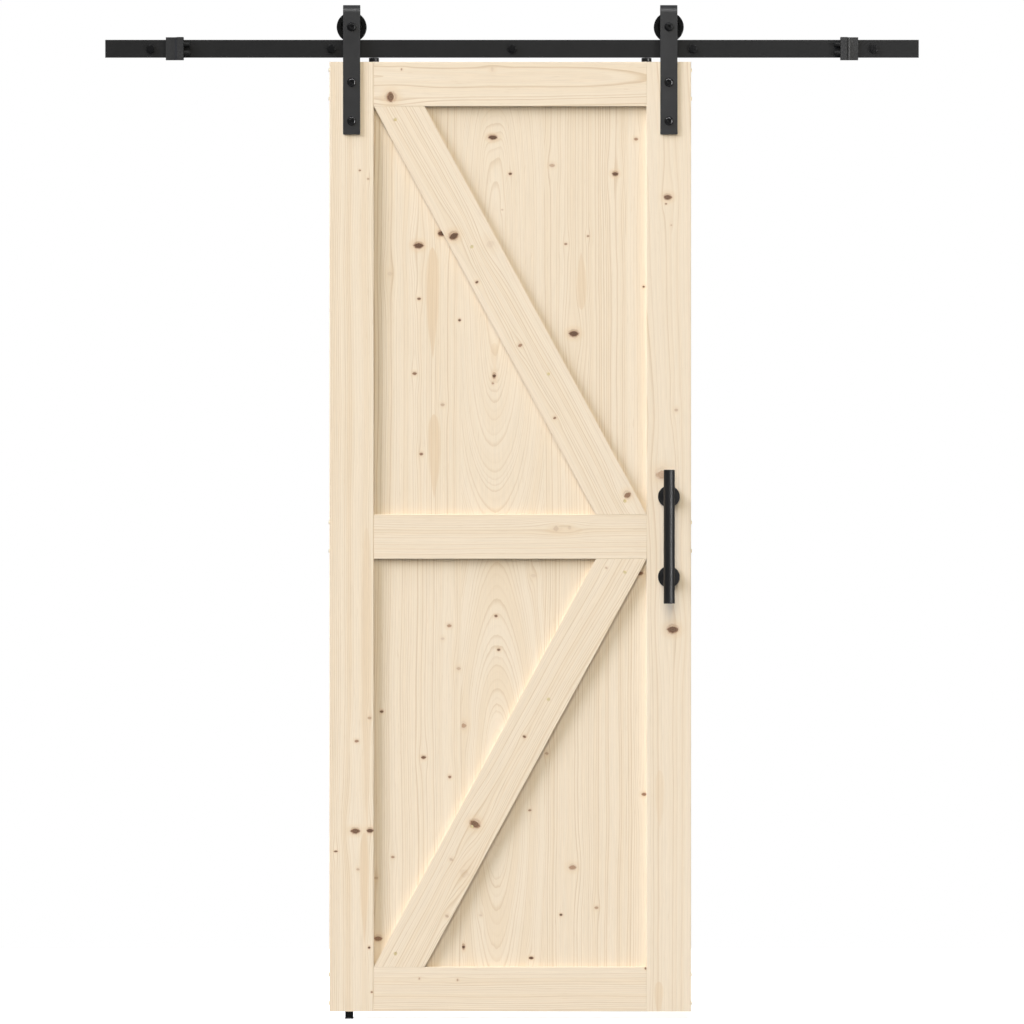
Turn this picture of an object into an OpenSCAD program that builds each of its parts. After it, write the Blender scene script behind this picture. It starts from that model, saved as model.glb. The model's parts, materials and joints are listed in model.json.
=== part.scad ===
// Sliding barn door: a framed and braced board door that hangs by two straps and wheels from a flat rail.
// X runs along the rail, Y goes back to the wall plane at y = 0 and Z is up.
// The origin is on the wall plane, on the axis of the rail's middle wall screw.

/* [Rail] */
// Length of the flat rail
track_len = 1828.8; // [1650:0.1:2400]
// Height of the flat rail
track_h = 40; // [36:0.5:50]
// Thickness of the flat rail
track_t = 6; // [5:0.5:8]
// Distance of the outer wall screws from the rail's ends
track_end_in = 101.6; // [60:0.1:120]
// Number of wall screws, always odd
wall_screws = 5; // [3:2:7]

/* [Wall fixings] */
// Clear gap between the wall and the door's back
wall_gap = 13; // [12:0.5:30]
// Diameter of the spacers behind the rail
spacer_d = 25; // [18:0.5:28]
// Diameter of the plain shank of a wall screw
lag_shank_d = 10; // [8:0.5:12]
// Diameter of the threaded part of a wall screw
lag_thread_d = 9.6; // [7:0.1:9.8]
// Length of the threaded part in the wall
lag_thread_len = 55; // [40:1:90]
// Width across the flats of a wall screw's head
lag_head_af = 17; // [13:0.5:19]
// Height of a wall screw's head
lag_head_h = 7; // [5:0.5:9]

/* [Door] */
// Width of the door
door_w = 812.8; // [700:0.1:1000]
// Height of the door
door_h = 2133.6; // [1750:0.1:2600]
// Thickness of the door's frame
door_t = 35; // [30:0.5:45]
// Place of the door's middle along the rail
door_x = -4; // [-60:1:60]
// Gap between the rail's lower edge and the door's top
door_drop = 10; // [9.5:0.1:20]
// Gap between the floor and the door's bottom
floor_gap = 16; // [10:0.5:25]

/* [Frame members] */
// Width of the two stiles
stile_w = 100; // [85:1:125]
// Height of the three rails
rail_h = 100; // [85:1:125]
// Depth of the groove that holds the panels
groove_depth = 10; // [8:0.5:14]
// Length of a rail's stub tenon
tenon_len = 9.5; // [5:0.5:9.5]
// Depth of the panels behind the frame's front
panel_recess = 13; // [10:0.5:16]
// Bevel along the long edges of the frame members
arris = 0.8; // [0.4:0.1:2]

/* [Panel boards] */
// Thickness of the panel boards
panel_t = 14; // [10:0.5:16]
// Visible width of the first board from the left
board_1_w = 197; // [150:1:210]
// Visible width of the second board
board_2_w = 186; // [150:1:200]
// Visible width of the fourth board
board_4_w = 46; // [30:1:80]
// Thickness of a board's tongue
tongue_t = 5; // [3:0.5:6]
// Depth of a board's tongue
tongue_w = 7; // [4:0.5:9]
// Clearance on each side of a board in its groove
panel_fit = 0.1; // [0.05:0.05:0.3]
// Room left for the panel's edges at the bottom of the grooves
panel_play = 1; // [0.5:0.5:3]

/* [Braces] */
// Width of the diagonal braces
brace_w = 100; // [70:1:120]
// Distance sideways from the opening's corner to the first brace screw
brace_screw_in_x = 48.5; // [40:0.5:60]
// Distance down from the opening's corner to the first brace screw
brace_screw_in_z = 30; // [25:0.5:40]
// Number of screws in each brace
brace_screw_count = 4; // [3:1:6]

/* [Wood screws] */
// Diameter of the long screws through the stiles
frame_screw_d = 5; // [4:0.5:6]
// Length of the long screws through the stiles
frame_screw_len = 150; // [140:1:180]
// Head diameter of the long screws
frame_head_d = 9; // [8:0.5:12]
// Height that the long screws' heads stand proud
frame_head_h = 2; // [1:0.5:3]
// Distance of the long screws from a rail's middle line
frame_screw_spread = 32; // [20:1:40]
// Diameter of the brace screws
brace_screw_d = 4; // [3:0.5:5]
// Length of the brace screws
brace_screw_len = 24; // [18:0.5:26]
// Head diameter of the brace screws
brace_head_d = 8.5; // [7:0.5:10]
// Clearance all round a screw or bolt in its hole
bolt_fit = 0.1; // [0.05:0.05:0.3]

/* [Hanger straps] */
// Width of the straps
strap_w = 38.5; // [32:0.5:46]
// Thickness of the straps
strap_t = 5; // [4:0.5:7]
// Length of a strap below the door's top
strap_drop = 163; // [150:1:220]
// Length of a strap's rear leg below the axle
strap_rear_drop = 18; // [12:0.5:20]
// Corner radius at a strap's lower end
strap_corner_r = 2; // [1:0.5:12]
// Distance of the upper strap bolt below the door's top
strap_bolt_top = 46; // [40:0.5:60]
// Distance between the two strap bolts
strap_bolt_pitch = 87; // [70:0.5:100]
// Diameter of the strap bolts
strap_bolt_d = 10; // [8:0.5:12]
// Head diameter of the strap bolts
strap_head_d = 20; // [16:0.5:24]
// Head height of the strap bolts
strap_head_h = 5; // [4:0.5:7]

/* [Wheels] */
// Outer diameter of the wheels
wheel_d = 67.4; // [58:0.1:84]
// Width of the wheels
wheel_w = 20; // [16:0.5:26]
// Depth of the groove that rides on the rail
wheel_groove_depth = 5.5; // [4:0.1:7]
// Clearance on each side of the rail in the wheel's groove
wheel_groove_side = 0.75; // [0.4:0.05:1.5]
// Diameter of the recess in a wheel's side
wheel_recess_d = 48; // [42:0.5:48]
// Gap between a wheel's side and the strap
wheel_side_gap = 3; // [2:0.5:5]
// Gap between a wheel's top and the strap's bend
wheel_top_gap = 11; // [6:0.5:20]
// Height at which the wheel's groove floats over the rail
ride_gap = 0.3; // [0.2:0.05:0.5]
// Diameter of the axle bolts
axle_d = 10; // [8:0.5:10]
// Head diameter of the axle bolts
axle_head_d = 20; // [16:0.5:24]
// Head height of the axle bolts
axle_head_h = 4.5; // [3:0.5:6]

/* [Wheel bearings] */
// Outer diameter of the bearings
bearing_d = 30; // [26:0.5:34]
// Width of the bearings
bearing_w = 9; // [8:0.5:11]
// Diameter of the balls
ball_d = 4.8; // [4:0.1:5.2]
// Number of balls in a bearing
ball_count = 8; // [6:1:9]
// Clearance between a ball and its race
ball_fit = 0.05; // [0.02:0.01:0.1]
// Thickness of a bearing's shield
shield_t = 0.6; // [0.4:0.1:1]

/* [Nuts and washers] */
// Width across the flats of the nuts
nut_af = 17; // [15:0.5:19]
// Height of the nuts
nut_h = 8; // [6:0.5:8]
// Diameter of the washers
washer_d = 21; // [20:0.5:26]
// Thickness of the washers
washer_t = 2; // [1:0.5:2.5]
// Length of thread that shows behind a nut
thread_show = 1; // [0:0.5:1.5]

/* [Anti-jump discs] */
// Diameter of the discs on the door's top
disc_d = 22.6; // [18:0.2:30]
// Clearance between the discs and the rail's lower edge
disc_gap = 0.8; // [0.5:0.1:3]
// Distance of a disc's screw from the disc's middle
disc_cam = 4; // [2:0.5:5]
// Diameter of the disc screws
disc_screw_d = 5; // [4:0.5:6]
// Length of the disc screws in the door
disc_screw_len = 35; // [25:1:45]
// Head diameter of the disc screws
disc_head_d = 9.5; // [8:0.5:11]

/* [Rail stops] */
// Distance of a stop's outer face from the outer wall screw
stop_in = 34.8; // [26:0.1:80]
// Width of a stop along the rail
stop_w = 40; // [34:0.5:50]
// Wall of a stop over and under the rail
stop_leg_t = 5.2; // [4:0.1:7]
// Thickness of a stop's front plate
stop_plate_t = 5; // [4:0.5:7]
// Width of the raised block on the door side
stop_block_w = 15; // [12:0.5:20]
// Height of the raised block over the front plate
stop_block_h = 11; // [9:0.5:14]
// Inside radius between the plate and the block
stop_fillet_r = 7; // [3:0.5:9]
// Clearance between a stop and the rail
stop_fit = 0.3; // [0.1:0.1:0.5]
// Height of the lips behind the rail
stop_lip_h = 6; // [4:0.5:9]
// Thickness of the lips behind the rail
stop_lip_t = 4; // [3:0.5:6]
// Diameter of the rubber bumpers
bumper_d = 12; // [10:0.5:14]
// Length of the rubber bumpers
bumper_len = 15; // [10:0.5:20]
// Distance between a stop's two bumpers
bumper_pitch = 19; // [17:0.5:22]
// Diameter of a bumper's stud
stud_d = 6; // [5:0.5:7]
// Length of a bumper's stud
stud_len = 8; // [6:0.5:10]
// Diameter of the set screws
set_screw_d = 5; // [4:0.5:6]

/* [Floor guide] */
// Distance of the guide's middle from the door's left edge
guide_in = 44.4; // [25:0.1:75]
// Width of the floor guide
guide_w = 18.3; // [16:0.1:30]
// Thickness of the guide's fin
guide_fin_t = 4; // [3:0.5:5]
// Height of the fin inside the door's groove
guide_reach = 12; // [8:0.5:14]
// Clearance on each side of the fin
guide_side = 0.5; // [0.4:0.1:0.8]
// Clearance over the fin
guide_top = 3; // [1:0.5:5]
// Length of the guide's base across the door
guide_base_len = 50; // [44:1:70]
// Thickness of the guide's base
guide_base_t = 3; // [3:0.5:5]
// Distance between the guide's two screws
guide_screw_pitch = 32; // [26:1:40]
// Diameter of the guide's screws
guide_screw_d = 4; // [3:0.5:4.5]
// Length of the guide's screws in the floor
guide_screw_len = 30; // [20:1:45]

/* [Pull handle] */
// Diameter of the handle's bar
bar_d = 25; // [22:0.5:32]
// Length of the handle's bar
bar_len = 300; // [250:1:450]
// Distance between the handle's two posts
post_pitch = 180.5; // [140:0.5:200]
// Diameter of the handle's posts
post_d = 16; // [13:0.5:18]
// Distance from the door's front to the bar's axis
handle_out = 50; // [40:0.5:70]
// Depth of the posts short of the bar's axis
post_short = 4; // [2:0.5:6]
// Diameter of the rosettes under the posts
rosette_d = 49; // [40:0.5:60]
// Thickness of the rosettes
rosette_t = 8; // [5:0.5:10]
// Diameter of the handle's bolts
handle_bolt_d = 8; // [6:0.5:9]
// Length of a handle bolt inside its post
handle_bolt_in = 22; // [12:0.5:28]

/* [Hidden] */
$fn = 64;
fine = 96;
small = 32;
over = 1;
hex = 6;
thread_tip = 8;
thread_step = 0.4;
wall_y = 0;

// Rail, strap and wheel, stacked from the wall to the front
strap_gap = max(wheel_w + 2 * wheel_side_gap, track_t + 2 * (lag_head_h + wheel_side_gap / 2));
door_back = wall_y - wall_gap;
door_front = door_back - door_t;
strap_front = door_front - strap_t;
track_y = door_front + strap_gap / 2;
track_front = track_y - track_t / 2;
track_back = track_y + track_t / 2;
strap_rear_in = door_front + strap_gap;
strap_rear_out = strap_rear_in + strap_t;

// Heights
track_top = track_h / 2;
track_bottom = -track_h / 2;
groove_r = wheel_d / 2 - wheel_groove_depth;
axle_z = track_top + ride_gap + groove_r;
strap_top = axle_z + wheel_d / 2 + wheel_top_gap + strap_t;
door_top = track_bottom - door_drop;
door_bottom = door_top - door_h;
door_mid = (door_top + door_bottom) / 2;
floor_z = door_bottom - floor_gap;
strap_bottom = door_top - strap_drop;

// Door layout
door_left = door_x - door_w / 2;
door_right = door_x + door_w / 2;
open_left = door_left + stile_w;
open_right = door_right - stile_w;
open_w = open_right - open_left;
open_h = (door_h - 3 * rail_h) / 2;
hang_x = (door_w - stile_w) / 2;
joint_x = door_w / 2 - stile_w;
panel_front = door_front + panel_recess;
panel_back = panel_front + panel_t;
top_rail_z = door_top - rail_h;
upper_open_z = door_mid + rail_h / 2;
middle_rail_z = door_mid - rail_h / 2;
lower_open_z = door_bottom + rail_h;
edge_y = (door_front + door_back) / 2;
tenon_y = (panel_front + panel_back) / 2;
rail_centres = [door_top - rail_h / 2, door_mid, door_bottom + rail_h / 2];

// Braces: each runs between opposite corners of its opening
brace_angle = atan(open_h / open_w) + asin(brace_w / norm([open_w, open_h]));
brace_cut = brace_w / sin(brace_angle);
brace_steps = [for (i = [0 : brace_screw_count - 1]) i / (brace_screw_count - 1)];

// Panel boards
board_3_w = open_w - board_1_w - board_2_w - board_4_w;
board_seams = [
    0,
    board_1_w,
    board_1_w + board_2_w,
    board_1_w + board_2_w + board_3_w,
    open_w
];
panel_edge = groove_depth - panel_play;

// Floor guide
guide_x = door_left + guide_in;
guide_groove_w = guide_fin_t + 2 * guide_side;
guide_groove_h = guide_reach + guide_top;

// Wall screws
screw_pitch = (track_len - 2 * track_end_in) / (wall_screws - 1);
screw_xs = [for (i = [0 : wall_screws - 1]) -track_len / 2 + track_end_in + i * screw_pitch];

// Bearings
ball_pitch_r = (bearing_d + axle_d) / 4;
race_r = ball_d / 2 + ball_fit;
race_gap = ball_d / 3;
sleeve_step = 1;
shield_gap = 0.3;

// Anti-jump discs
disc_h = door_drop - disc_gap;

// Rail stops
stop_outer = -screw_xs[0] - stop_in;
stop_h = track_h + 2 * (stop_fit + stop_leg_t);
stop_front = track_front - stop_plate_t;
bumper_in = 1;
bumper_y = stop_front - stop_block_h + bumper_d / 2 + bumper_in;

// Handle
handle_x = door_x + hang_x;
bar_y = door_front - handle_out;
post_end = bar_y + post_short;

// Bolt and screw heads, as shares of a head's height or of the bolt's diameter
dome_share = 0.8;
socket_share = 0.45;
socket_af_share = 0.6;
hex_h_share = 0.65;
hex_af_share = 1.6;
screw_tip_share = 1.2;
plain_share = 0.7;

iron = [0.16, 0.16, 0.17];
soot = [0.08, 0.08, 0.09];
steel = [0.62, 0.62, 0.64];
zinc = [0.78, 0.68, 0.36];
pine = [0.92, 0.84, 0.70];
rubber = [0.05, 0.05, 0.05];

// ---- Shared shapes ----

// Round bar along Y from y0 back to y1
module rod_y(x, z, y0, y1, d) {
    translate([x, y0, z])
        rotate([-90, 0, 0])
            cylinder(h = y1 - y0, d = d);
}

// Round bar along X from x0 to x1
module rod_x(y, z, x0, x1, d) {
    translate([x0, y, z])
        rotate([0, 90, 0])
            cylinder(h = x1 - x0, d = d, $fn = small);
}

// Hexagonal bar along Y from y0 back to y1, given its width across the flats
module hex_y(x, z, y0, y1, af) {
    translate([x, y0, z])
        rotate([-90, 0, 0])
            cylinder(h = y1 - y0, d = af / cos(180 / hex), $fn = hex);
}

// Body of revolution about Y: the outline's X is the radius and its Y goes back towards the wall
module turned_y(x, z, y) {
    translate([x, y, z])
        rotate([-90, 0, 0])
            rotate_extrude($fn = fine)
                children();
}

// Outline in Y and Z drawn out along X
module along_x(x0, x1) {
    translate([x0, 0, 0])
        rotate([90, 0, 90])
            linear_extrude(height = x1 - x0)
                children();
}

// Outline in X and Z drawn out along Y from y0 back to y1
module along_y(y0, y1) {
    translate([0, y1, 0])
        rotate([90, 0, 0])
            linear_extrude(height = y1 - y0)
                children();
}

// Rectangle with its four corners bevelled
module bevelled(x0, x1, y0, y1, b) {
    polygon([
        [x0 + b, y0], [x1 - b, y0], [x1, y0 + b], [x1, y1 - b],
        [x1 - b, y1], [x0 + b, y1], [x0, y1 - b], [x0, y0 + b]
    ]);
}

// Button head in front of y, with a round front edge and a hexagonal socket
module button_head(x, z, y, d, h, socket_af) {
    dome = h * dome_share;
    difference() {
        turned_y(x, z, y - h)
            difference() {
                square([d / 2, h]);
                translate([d / 2 - dome, dome])
                    difference() {
                        translate([0, -dome - over])
                            square([dome + over, dome + over]);
                        circle(r = dome, $fn = fine);
                    }
            }
        hex_y(x, z, y - h - over, y - h * socket_share, socket_af);
    }
}

// Wood screw along Z with its head at z = 0: the head sinks below or stands proud above,
// the shank is plain for a stretch and the threaded part ends in a point
module wood_screw(d, len, head_d, sink, proud, plain) {
    tip = d * screw_tip_share;
    thread_d = d - thread_step;
    head = proud > 0 ? [[0, proud], [head_d / 2, proud], [head_d / 2, 0]] : [[0, 0], [head_d / 2, 0]];
    rotate_extrude($fn = small)
        polygon(concat(head, [
            [d / 2, -sink], [d / 2, -plain], [thread_d / 2, -plain],
            [thread_d / 2, tip - len], [0, -len]
        ]));
}

// ---- Rail, its fixings and stops ----

module track_rail() {
    color(iron)
        difference() {
            translate([-track_len / 2, track_front, track_bottom])
                cube([track_len, track_t, track_h]);
            for (x = screw_xs)
                rod_y(x, 0, track_front - over, track_back + over, lag_shank_d + 2 * bolt_fit);
        }
}

module wall_spacers() {
    color(iron)
        for (x = screw_xs)
            difference() {
                rod_y(x, 0, track_back, wall_y, spacer_d);
                rod_y(x, 0, track_back - over, wall_y + over, lag_shank_d + 2 * bolt_fit);
            }
}

module lag_screws() {
    color(soot)
        for (x = screw_xs) {
            hex_y(x, 0, track_front - lag_head_h, track_front, lag_head_af);
            rod_y(x, 0, track_front, wall_y, lag_shank_d);
            rod_y(x, 0, wall_y, wall_y + lag_thread_len - thread_tip, lag_thread_d);
            translate([x, wall_y + lag_thread_len - thread_tip, 0])
                rotate([-90, 0, 0])
                    cylinder(h = thread_tip, d1 = lag_thread_d, d2 = 1);
        }
}

// Places a stop: inside, X runs from the stop's outer face towards the door
module at_stop(side) {
    translate([side * stop_outer, 0, 0])
        if (side > 0)
            mirror([1, 0, 0])
                children();
        else
            children();
}

// Front plate, raised block and the hollow curve between them, seen from above
module stop_outline() {
    block_x = stop_w - stop_block_w;
    block_y = stop_front - stop_block_h;
    difference() {
        union() {
            translate([0, stop_front])
                square([stop_w, track_back + stop_lip_t - stop_front]);
            translate([block_x, block_y])
                square([stop_block_w, stop_block_h]);
            translate([block_x - stop_fillet_r, stop_front - stop_fillet_r])
                square([stop_fillet_r, stop_fillet_r]);
        }
        translate([block_x - stop_fillet_r, stop_front - stop_fillet_r])
            circle(r = stop_fillet_r, $fn = fine);
    }
}

module stop_bracket(side) {
    inside_h = track_h + 2 * stop_fit;
    color(iron)
        at_stop(side)
            difference() {
                translate([0, 0, -stop_h / 2])
                    linear_extrude(height = stop_h)
                        stop_outline();
                translate([-over, track_front, -inside_h / 2])
                    cube([stop_w + 2 * over, track_t, inside_h]);
                translate([-over, track_back - over, stop_lip_h - track_top])
                    cube([stop_w + 2 * over, stop_lip_t + 2 * over, track_h - 2 * stop_lip_h]);
                for (z = [-1, 1])
                    rod_x(bumper_y, z * bumper_pitch / 2, stop_w - stud_len - over, stop_w + over,
                        stud_d + 2 * bolt_fit);
                for (x = [stop_w / 4, stop_w * 3 / 4])
                    translate([x, track_y, -stop_h / 2 - over])
                        cylinder(h = stop_leg_t + 2 * over, d = set_screw_d + 2 * bolt_fit, $fn = small);
            }
}

module stop_bracket_left() {
    stop_bracket(-1);
}

module stop_bracket_right() {
    stop_bracket(1);
}

module stop_bumpers(side) {
    crown = 1.5;
    color(rubber)
        at_stop(side)
            for (z = [-1, 1])
                translate([stop_w, bumper_y, z * bumper_pitch / 2])
                    rotate([0, 90, 0])
                        rotate_extrude($fn = small)
                            polygon([
                                [0, -stud_len], [stud_d / 2, -stud_len], [stud_d / 2, 0],
                                [bumper_d / 2, 0], [bumper_d / 2, bumper_len - crown],
                                [bumper_d / 2 - crown, bumper_len], [0, bumper_len]
                            ]);
}

module stop_bumpers_left() {
    stop_bumpers(-1);
}

module stop_bumpers_right() {
    stop_bumpers(1);
}

module stop_set_screws() {
    color(soot)
        for (side = [-1, 1])
            at_stop(side)
                for (x = [stop_w / 4, stop_w * 3 / 4])
                    translate([x, track_y, -stop_h / 2 + stop_fit])
                        cylinder(h = stop_leg_t, d = set_screw_d, $fn = small);
}

// ---- Floor guide ----

module guide_screw_places() {
    for (side = [-1, 1])
        translate([guide_x, edge_y + side * guide_screw_pitch / 2, floor_z + guide_base_t])
            children();
}

module floor_guide() {
    sink = guide_screw_d / 2;
    color(soot)
        difference() {
            union() {
                translate([guide_x - guide_w / 2, edge_y - guide_base_len / 2, floor_z])
                    cube([guide_w, guide_base_len, guide_base_t]);
                translate([guide_x - guide_w / 2, edge_y - guide_fin_t / 2, floor_z])
                    cube([guide_w, guide_fin_t, floor_gap + guide_reach]);
            }
            guide_screw_places()
                rotate_extrude($fn = small)
                    polygon([
                        [0, over], [guide_screw_d + bolt_fit, over], [guide_screw_d + bolt_fit, 0],
                        [guide_screw_d / 2 + bolt_fit, -sink],
                        [guide_screw_d / 2 + bolt_fit, -guide_base_t - over], [0, -guide_base_t - over]
                    ]);
        }
}

module floor_guide_screws() {
    color(zinc)
        guide_screw_places()
            wood_screw(guide_screw_d, guide_screw_len + guide_base_t, 2 * guide_screw_d,
                guide_screw_d / 2, 0, guide_base_t);
}

// ---- Door frame ----

// Screws that enter the door's edges and reach through the stiles into the rails
module frame_screw_places(side) {
    for (z = rail_centres)
        for (k = [-1, 1])
            translate([door_x + side * door_w / 2, tenon_y, z + k * frame_screw_spread])
                rotate([0, side * 90, 0])
                    children();
}

module frame_screw_holes(side) {
    frame_screw_places(side)
        translate([0, 0, -frame_screw_len - over])
            cylinder(h = frame_screw_len + 2 * over, d = frame_screw_d + 2 * bolt_fit, $fn = small);
}

// Groove across the door's bottom that the floor guide's fin runs in
module guide_groove() {
    translate([door_left - over, edge_y - guide_groove_w / 2, door_bottom - over])
        cube([door_w + 2 * over, guide_groove_w, guide_groove_h + over]);
}

// Groove band for the panels, from z0 to z1
module panel_groove(x0, x1, z0, z1) {
    translate([x0, panel_front - panel_fit, z0])
        cube([x1 - x0, panel_t + 2 * panel_fit, z1 - z0]);
}

module stile(side) {
    edge = door_x + side * door_w / 2;
    x0 = min(edge, edge - side * stile_w);
    groove_x = side > 0 ? x0 - over : x0 + stile_w - groove_depth;
    color(pine)
        difference() {
            translate([0, 0, door_bottom])
                linear_extrude(height = door_h)
                    bevelled(x0, x0 + stile_w, door_front, door_back, arris);
            panel_groove(groove_x, groove_x + groove_depth + over, door_bottom - over, door_top + over);
            frame_screw_holes(side);
            guide_groove();
            for (i = [0, 1])
                rod_y(door_x + side * hang_x, door_top - strap_bolt_top - i * strap_bolt_pitch,
                    door_front - over, door_back + over, strap_bolt_d + 2 * bolt_fit);
            disc_screw_holes();
            if (side > 0)
                handle_bolt_holes(door_front - over, door_back + over);
        }
}

module left_stile() {
    stile(-1);
}

module right_stile() {
    stile(1);
}

// Rail between the stiles, with a stub tenon at each end and grooves on its inner edges
module door_rail(z0, groove_up, groove_down) {
    color(pine)
        difference() {
            union() {
                along_x(open_left, open_right)
                    bevelled(door_front, door_back, z0, z0 + rail_h, arris);
                translate([open_left - tenon_len, panel_front, z0])
                    cube([open_w + 2 * tenon_len, panel_t, rail_h]);
            }
            if (groove_up)
                panel_groove(open_left - groove_depth, open_right + groove_depth,
                    z0 + rail_h - groove_depth, z0 + rail_h + over);
            if (groove_down)
                panel_groove(open_left - groove_depth, open_right + groove_depth,
                    z0 - over, z0 + groove_depth);
            frame_screw_holes(-1);
            frame_screw_holes(1);
            guide_groove();
            disc_screw_holes();
        }
}

module top_rail() {
    door_rail(top_rail_z, false, true);
}

module middle_rail() {
    door_rail(middle_rail_z, true, true);
}

module bottom_rail() {
    door_rail(door_bottom, true, false);
}

// ---- Panels and braces ----

// One board, seen from above: a tongue on its right edge and a groove on its left edge
module board_outline(i) {
    x0 = open_left + (i == 0 ? -panel_edge : board_seams[i]);
    x1 = open_left + (i == 3 ? open_w + panel_edge : board_seams[i + 1]);
    difference() {
        union() {
            translate([x0, panel_front])
                square([x1 - x0, panel_t]);
            if (i < 3)
                translate([x1 - over, tenon_y - tongue_t / 2])
                    square([tongue_w + over, tongue_t]);
        }
        if (i > 0)
            translate([x0 - over, tenon_y - tongue_t / 2 - panel_fit])
                square([tongue_w + panel_play + over, tongue_t + 2 * panel_fit]);
    }
}

module panel_board(i, z0) {
    color(pine)
        difference() {
            translate([0, 0, z0 - panel_edge])
                linear_extrude(height = open_h + 2 * panel_edge)
                    board_outline(i);
            brace_screw_holes();
        }
}

module upper_board_1() {
    panel_board(0, upper_open_z);
}

module upper_board_2() {
    panel_board(1, upper_open_z);
}

module upper_board_3() {
    panel_board(2, upper_open_z);
}

module upper_board_4() {
    panel_board(3, upper_open_z);
}

module lower_board_1() {
    panel_board(0, lower_open_z);
}

module lower_board_2() {
    panel_board(1, lower_open_z);
}

module lower_board_3() {
    panel_board(2, lower_open_z);
}

module lower_board_4() {
    panel_board(3, lower_open_z);
}

// Places of one brace's screws: the upper brace falls to the right, the lower one rises to the right
module brace_screw_places(upper) {
    z0 = upper ? upper_open_z : lower_open_z;
    for (s = brace_steps) {
        x = open_left + brace_screw_in_x + s * (open_w - 2 * brace_screw_in_x);
        rise = brace_screw_in_z + s * (open_h - 2 * brace_screw_in_z);
        translate([x, door_front, z0 + (upper ? open_h - rise : rise)])
            rotate([90, 0, 0])
                children();
    }
}

module brace_screw_holes() {
    for (upper = [true, false])
        brace_screw_places(upper)
            translate([0, 0, -brace_screw_len - over])
                cylinder(h = brace_screw_len + 2 * over, d = brace_screw_d + 2 * bolt_fit, $fn = small);
}

// Board between opposite corners of its opening, cut to the rails
module brace(upper) {
    z0 = upper ? upper_open_z : lower_open_z;
    start_z = upper ? z0 + open_h : z0;
    end_z = upper ? z0 : z0 + open_h;
    sink = brace_head_d / 2 - brace_screw_d / 2;
    color(pine)
        difference() {
            along_y(door_front, panel_front)
                polygon([
                    [open_left, start_z], [open_left + brace_cut, start_z],
                    [open_right, end_z], [open_right - brace_cut, end_z]
                ]);
            brace_screw_holes();
            brace_screw_places(upper)
                rotate_extrude($fn = small)
                    polygon([
                        [0, over], [brace_head_d / 2 + bolt_fit, over], [brace_head_d / 2 + bolt_fit, 0],
                        [brace_screw_d / 2 + bolt_fit, -sink], [0, -sink]
                    ]);
        }
}

module upper_brace() {
    brace(true);
}

module lower_brace() {
    brace(false);
}

module brace_screws(upper) {
    color(zinc)
        brace_screw_places(upper)
            wood_screw(brace_screw_d, brace_screw_len, brace_head_d,
                brace_head_d / 2 - brace_screw_d / 2, 0, panel_recess * plain_share);
}

module upper_brace_screws() {
    brace_screws(true);
}

module lower_brace_screws() {
    brace_screws(false);
}

module frame_screws_left() {
    color(steel)
        frame_screw_places(-1)
            wood_screw(frame_screw_d, frame_screw_len, frame_head_d, 0, frame_head_h, stile_w);
}

module frame_screws_right() {
    color(steel)
        frame_screw_places(1)
            wood_screw(frame_screw_d, frame_screw_len, frame_head_d, 0, frame_head_h, stile_w);
}

// ---- Hangers ----

// Hook over the wheel, seen from the side: a long front leg, a half-round bend and a short rear leg
module strap_outline() {
    bend_r = strap_gap / 2 + strap_t;
    bend_z = strap_top - bend_r;
    difference() {
        union() {
            translate([track_y, bend_z])
                circle(r = bend_r, $fn = fine);
            translate([strap_front, strap_bottom])
                square([strap_t, bend_z - strap_bottom]);
            translate([strap_rear_in, axle_z - strap_rear_drop])
                square([strap_t, bend_z - axle_z + strap_rear_drop]);
        }
        translate([track_y, bend_z])
            circle(r = strap_gap / 2, $fn = fine);
        translate([door_front, strap_bottom - over])
            square([strap_gap, bend_z - strap_bottom + over]);
    }
}

// What is cut off the two lower corners of a strap
module strap_corners(x) {
    for (side = [-1, 1])
        along_y(strap_front - over, door_front + over)
            translate([x + side * (strap_w / 2 - strap_corner_r), strap_bottom + strap_corner_r])
                difference() {
                    translate([side > 0 ? 0 : -strap_corner_r - over, -strap_corner_r - over])
                        square(strap_corner_r + over);
                    circle(r = strap_corner_r);
                }
}

module hanger_strap(side) {
    x = door_x + side * hang_x;
    color(iron)
        difference() {
            along_x(x - strap_w / 2, x + strap_w / 2)
                strap_outline();
            strap_corners(x);
            rod_y(x, axle_z, strap_front - over, strap_rear_out + over, axle_d + 2 * bolt_fit);
            for (i = [0, 1])
                rod_y(x, door_top - strap_bolt_top - i * strap_bolt_pitch,
                    strap_front - over, door_front + over, strap_bolt_d + 2 * bolt_fit);
        }
}

module hanger_strap_left() {
    hanger_strap(-1);
}

module hanger_strap_right() {
    hanger_strap(1);
}

module strap_bolts(side) {
    x = door_x + side * hang_x;
    color(soot)
        for (i = [0, 1]) {
            z = door_top - strap_bolt_top - i * strap_bolt_pitch;
            button_head(x, z, strap_front, strap_head_d, strap_head_h, strap_bolt_d * socket_af_share);
            rod_y(x, z, strap_front, door_back + washer_t + nut_h + thread_show, strap_bolt_d);
        }
}

module strap_bolts_left() {
    strap_bolts(-1);
}

module strap_bolts_right() {
    strap_bolts(1);
}

module strap_washers() {
    color(steel)
        for (side = [-1, 1])
            for (i = [0, 1]) {
                x = door_x + side * hang_x;
                z = door_top - strap_bolt_top - i * strap_bolt_pitch;
                difference() {
                    rod_y(x, z, door_back, door_back + washer_t, washer_d);
                    rod_y(x, z, door_back - over, door_back + washer_t + over,
                        strap_bolt_d + 2 * bolt_fit);
                }
            }
}

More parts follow.
